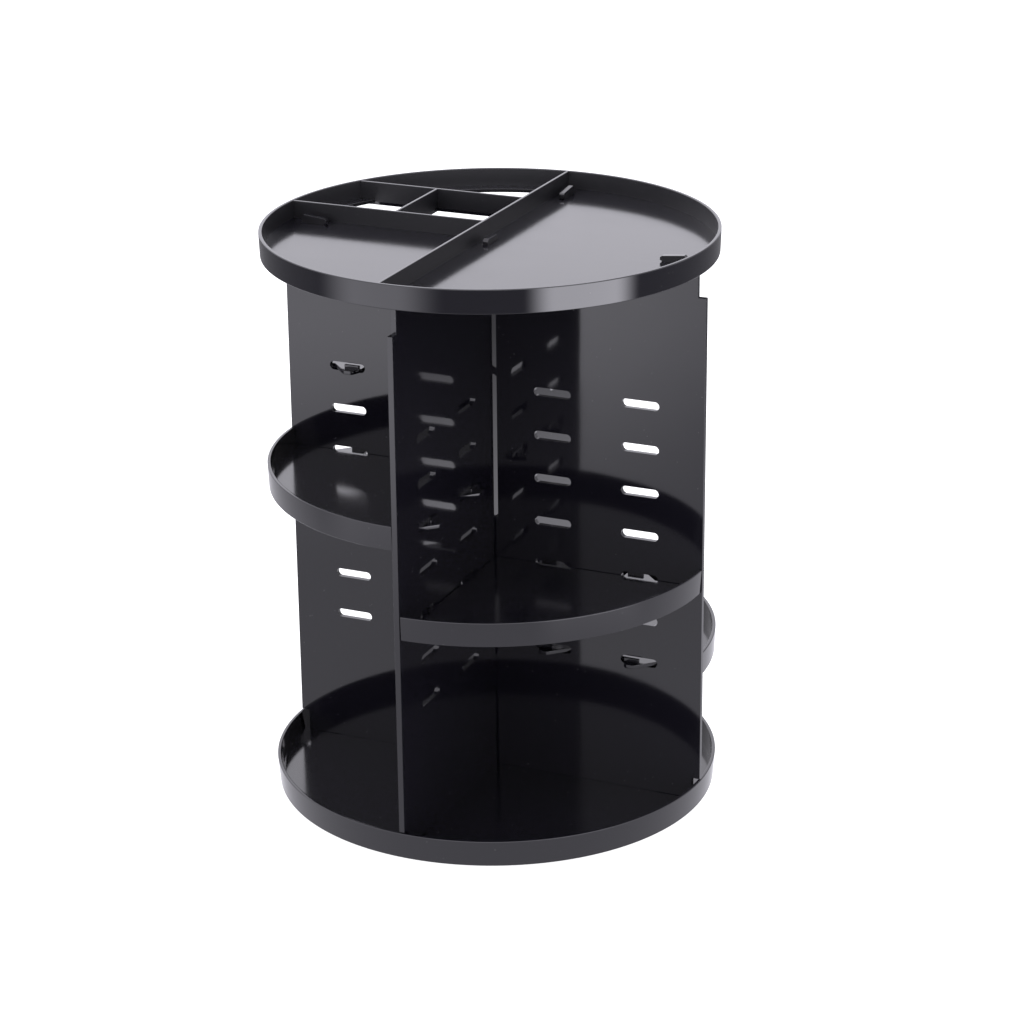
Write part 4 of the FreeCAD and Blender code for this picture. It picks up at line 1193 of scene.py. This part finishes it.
def light_table(stage):
    """Lay the lit table that the upright faces mirror, a hair under the floor."""
    look = Finish("table_light")
    turned = look.node("ShaderNodeMapping", {"vector_type": "TEXTURE"}, {
        "Vector": look.place, "Rotation": (0.0, 0.0, stage.turn - math.pi / 2),
    })
    sweep = look.node("ShaderNodeTexGradient", {"gradient_type": "RADIAL"}, {"Vector": turned}, "Fac")
    azimuth = sweep * 360.0 - 180.0
    far = stage.table_far
    for middle, even, end, level in POOLS:
        aside = look.node("ShaderNodeMath", {"operation": "ABSOLUTE"}, {0: azimuth - middle})
        far = far + look.eased(aside, even, end, getattr(stage, level), 0.0)
    reach = look.vector_maths("LENGTH", look.place, output="Value")
    share = look.eased(reach, POOL_START, POOL_FULL, 0.0, 1.0)
    glow = far * share + stage.table_near * (1.0 - share)
    lamp_card("table_light", flat_sheet(TABLE_REACH, -2 * HAIR), look, glow)


def screen(stage, name, azimuth, reach, sides, heights, centre_level):
    """Stand a screen that faces the axis and fades from its level at the centre to the sky's."""
    look = Finish(name)
    turn = math.radians(azimuth) + stage.turn
    along = Vector((math.cos(turn), math.sin(turn), 0))
    across = look.vector_maths("DOT_PRODUCT", look.place, along, "Value")
    aside = look.node("ShaderNodeMath", {"operation": "ABSOLUTE"}, {0: across})
    full, end = sides
    low, high = heights
    base = toward(stage, azimuth, reach)
    mesh = bmesh.new()
    corners = [(-end, low), (end, low), (end, high), (-end, high)]
    mesh.faces.new([mesh.verts.new(base + along * x + Vector((0, 0, z))) for x, z in corners])
    lamp_card(name, mesh, look, look.eased(aside, full, end, centre_level, stage.sky))


def light_sky(stage):
    """Surround the scene with even light."""
    world = bpy.data.worlds.new("studio_light")
    world.use_nodes = True
    background = world.node_tree.nodes["Background"]
    background.inputs["Color"].default_value = LIGHT_TINT
    background.inputs["Strength"].default_value = stage.sky
    bpy.context.scene.world = world


class ORGANIZER_OT_stage(bpy.types.Operator):
    """Set up the floor, the soft light and the camera"""

    bl_idname = "organizer.stage"
    bl_label = "Stage"

    def execute(self, context):
        stage = context.scene.organizer_stage
        context.scene.view_settings.view_transform = "Standard"
        light_sky(stage)
        lay_floor(stage)
        place_camera(stage)
        light_table(stage)
        for name, (azimuth, reach, sides, heights, level) in SCREENS.items():
            screen(stage, name, azimuth, reach, sides, heights, getattr(stage, level))
        return {"FINISHED"}


class ORGANIZER_PT_panel(bpy.types.Panel):
    """Lists the pieces and their sizes"""

    bl_idname = "ORGANIZER_PT_panel"
    bl_label = "Vanity Organizer"
    bl_space_type = "VIEW_3D"
    bl_region_type = "UI"
    bl_category = "Organizer"

    def draw(self, context):
        for operator in OPERATORS:
            self.layout.operator(operator.bl_idname)
        for group in ("organizer_sizes", "organizer_finish", "organizer_stage"):
            properties = getattr(context.scene, group)
            for name in properties.__annotations__:
                self.layout.prop(properties, name)


OPERATORS = (
    ORGANIZER_OT_round_trays,
    ORGANIZER_OT_panels,
    ORGANIZER_OT_quarter_trays,
    ORGANIZER_OT_turntable,
    ORGANIZER_OT_stage,
)
CLASSES = (OrganizerSizes, OrganizerFinish, OrganizerStage) + OPERATORS + (ORGANIZER_PT_panel,)


def register():
    for item in CLASSES:
        bpy.utils.register_class(item)
    bpy.types.Scene.organizer_sizes = bpy.props.PointerProperty(type=OrganizerSizes)
    bpy.types.Scene.organizer_finish = bpy.props.PointerProperty(type=OrganizerFinish)
    bpy.types.Scene.organizer_stage = bpy.props.PointerProperty(type=OrganizerStage)


def unregister():
    del bpy.types.Scene.organizer_stage
    del bpy.types.Scene.organizer_finish
    del bpy.types.Scene.organizer_sizes
    for item in reversed(CLASSES):
        bpy.utils.unregister_class(item)


def main():
    """Build every piece and the stage."""
    register()
    bpy.ops.organizer.round_trays()
    bpy.ops.organizer.panels()
    bpy.ops.organizer.quarter_trays()
    bpy.ops.organizer.turntable()
    bpy.ops.organizer.stage()


if __name__ == "__main__":
    main()
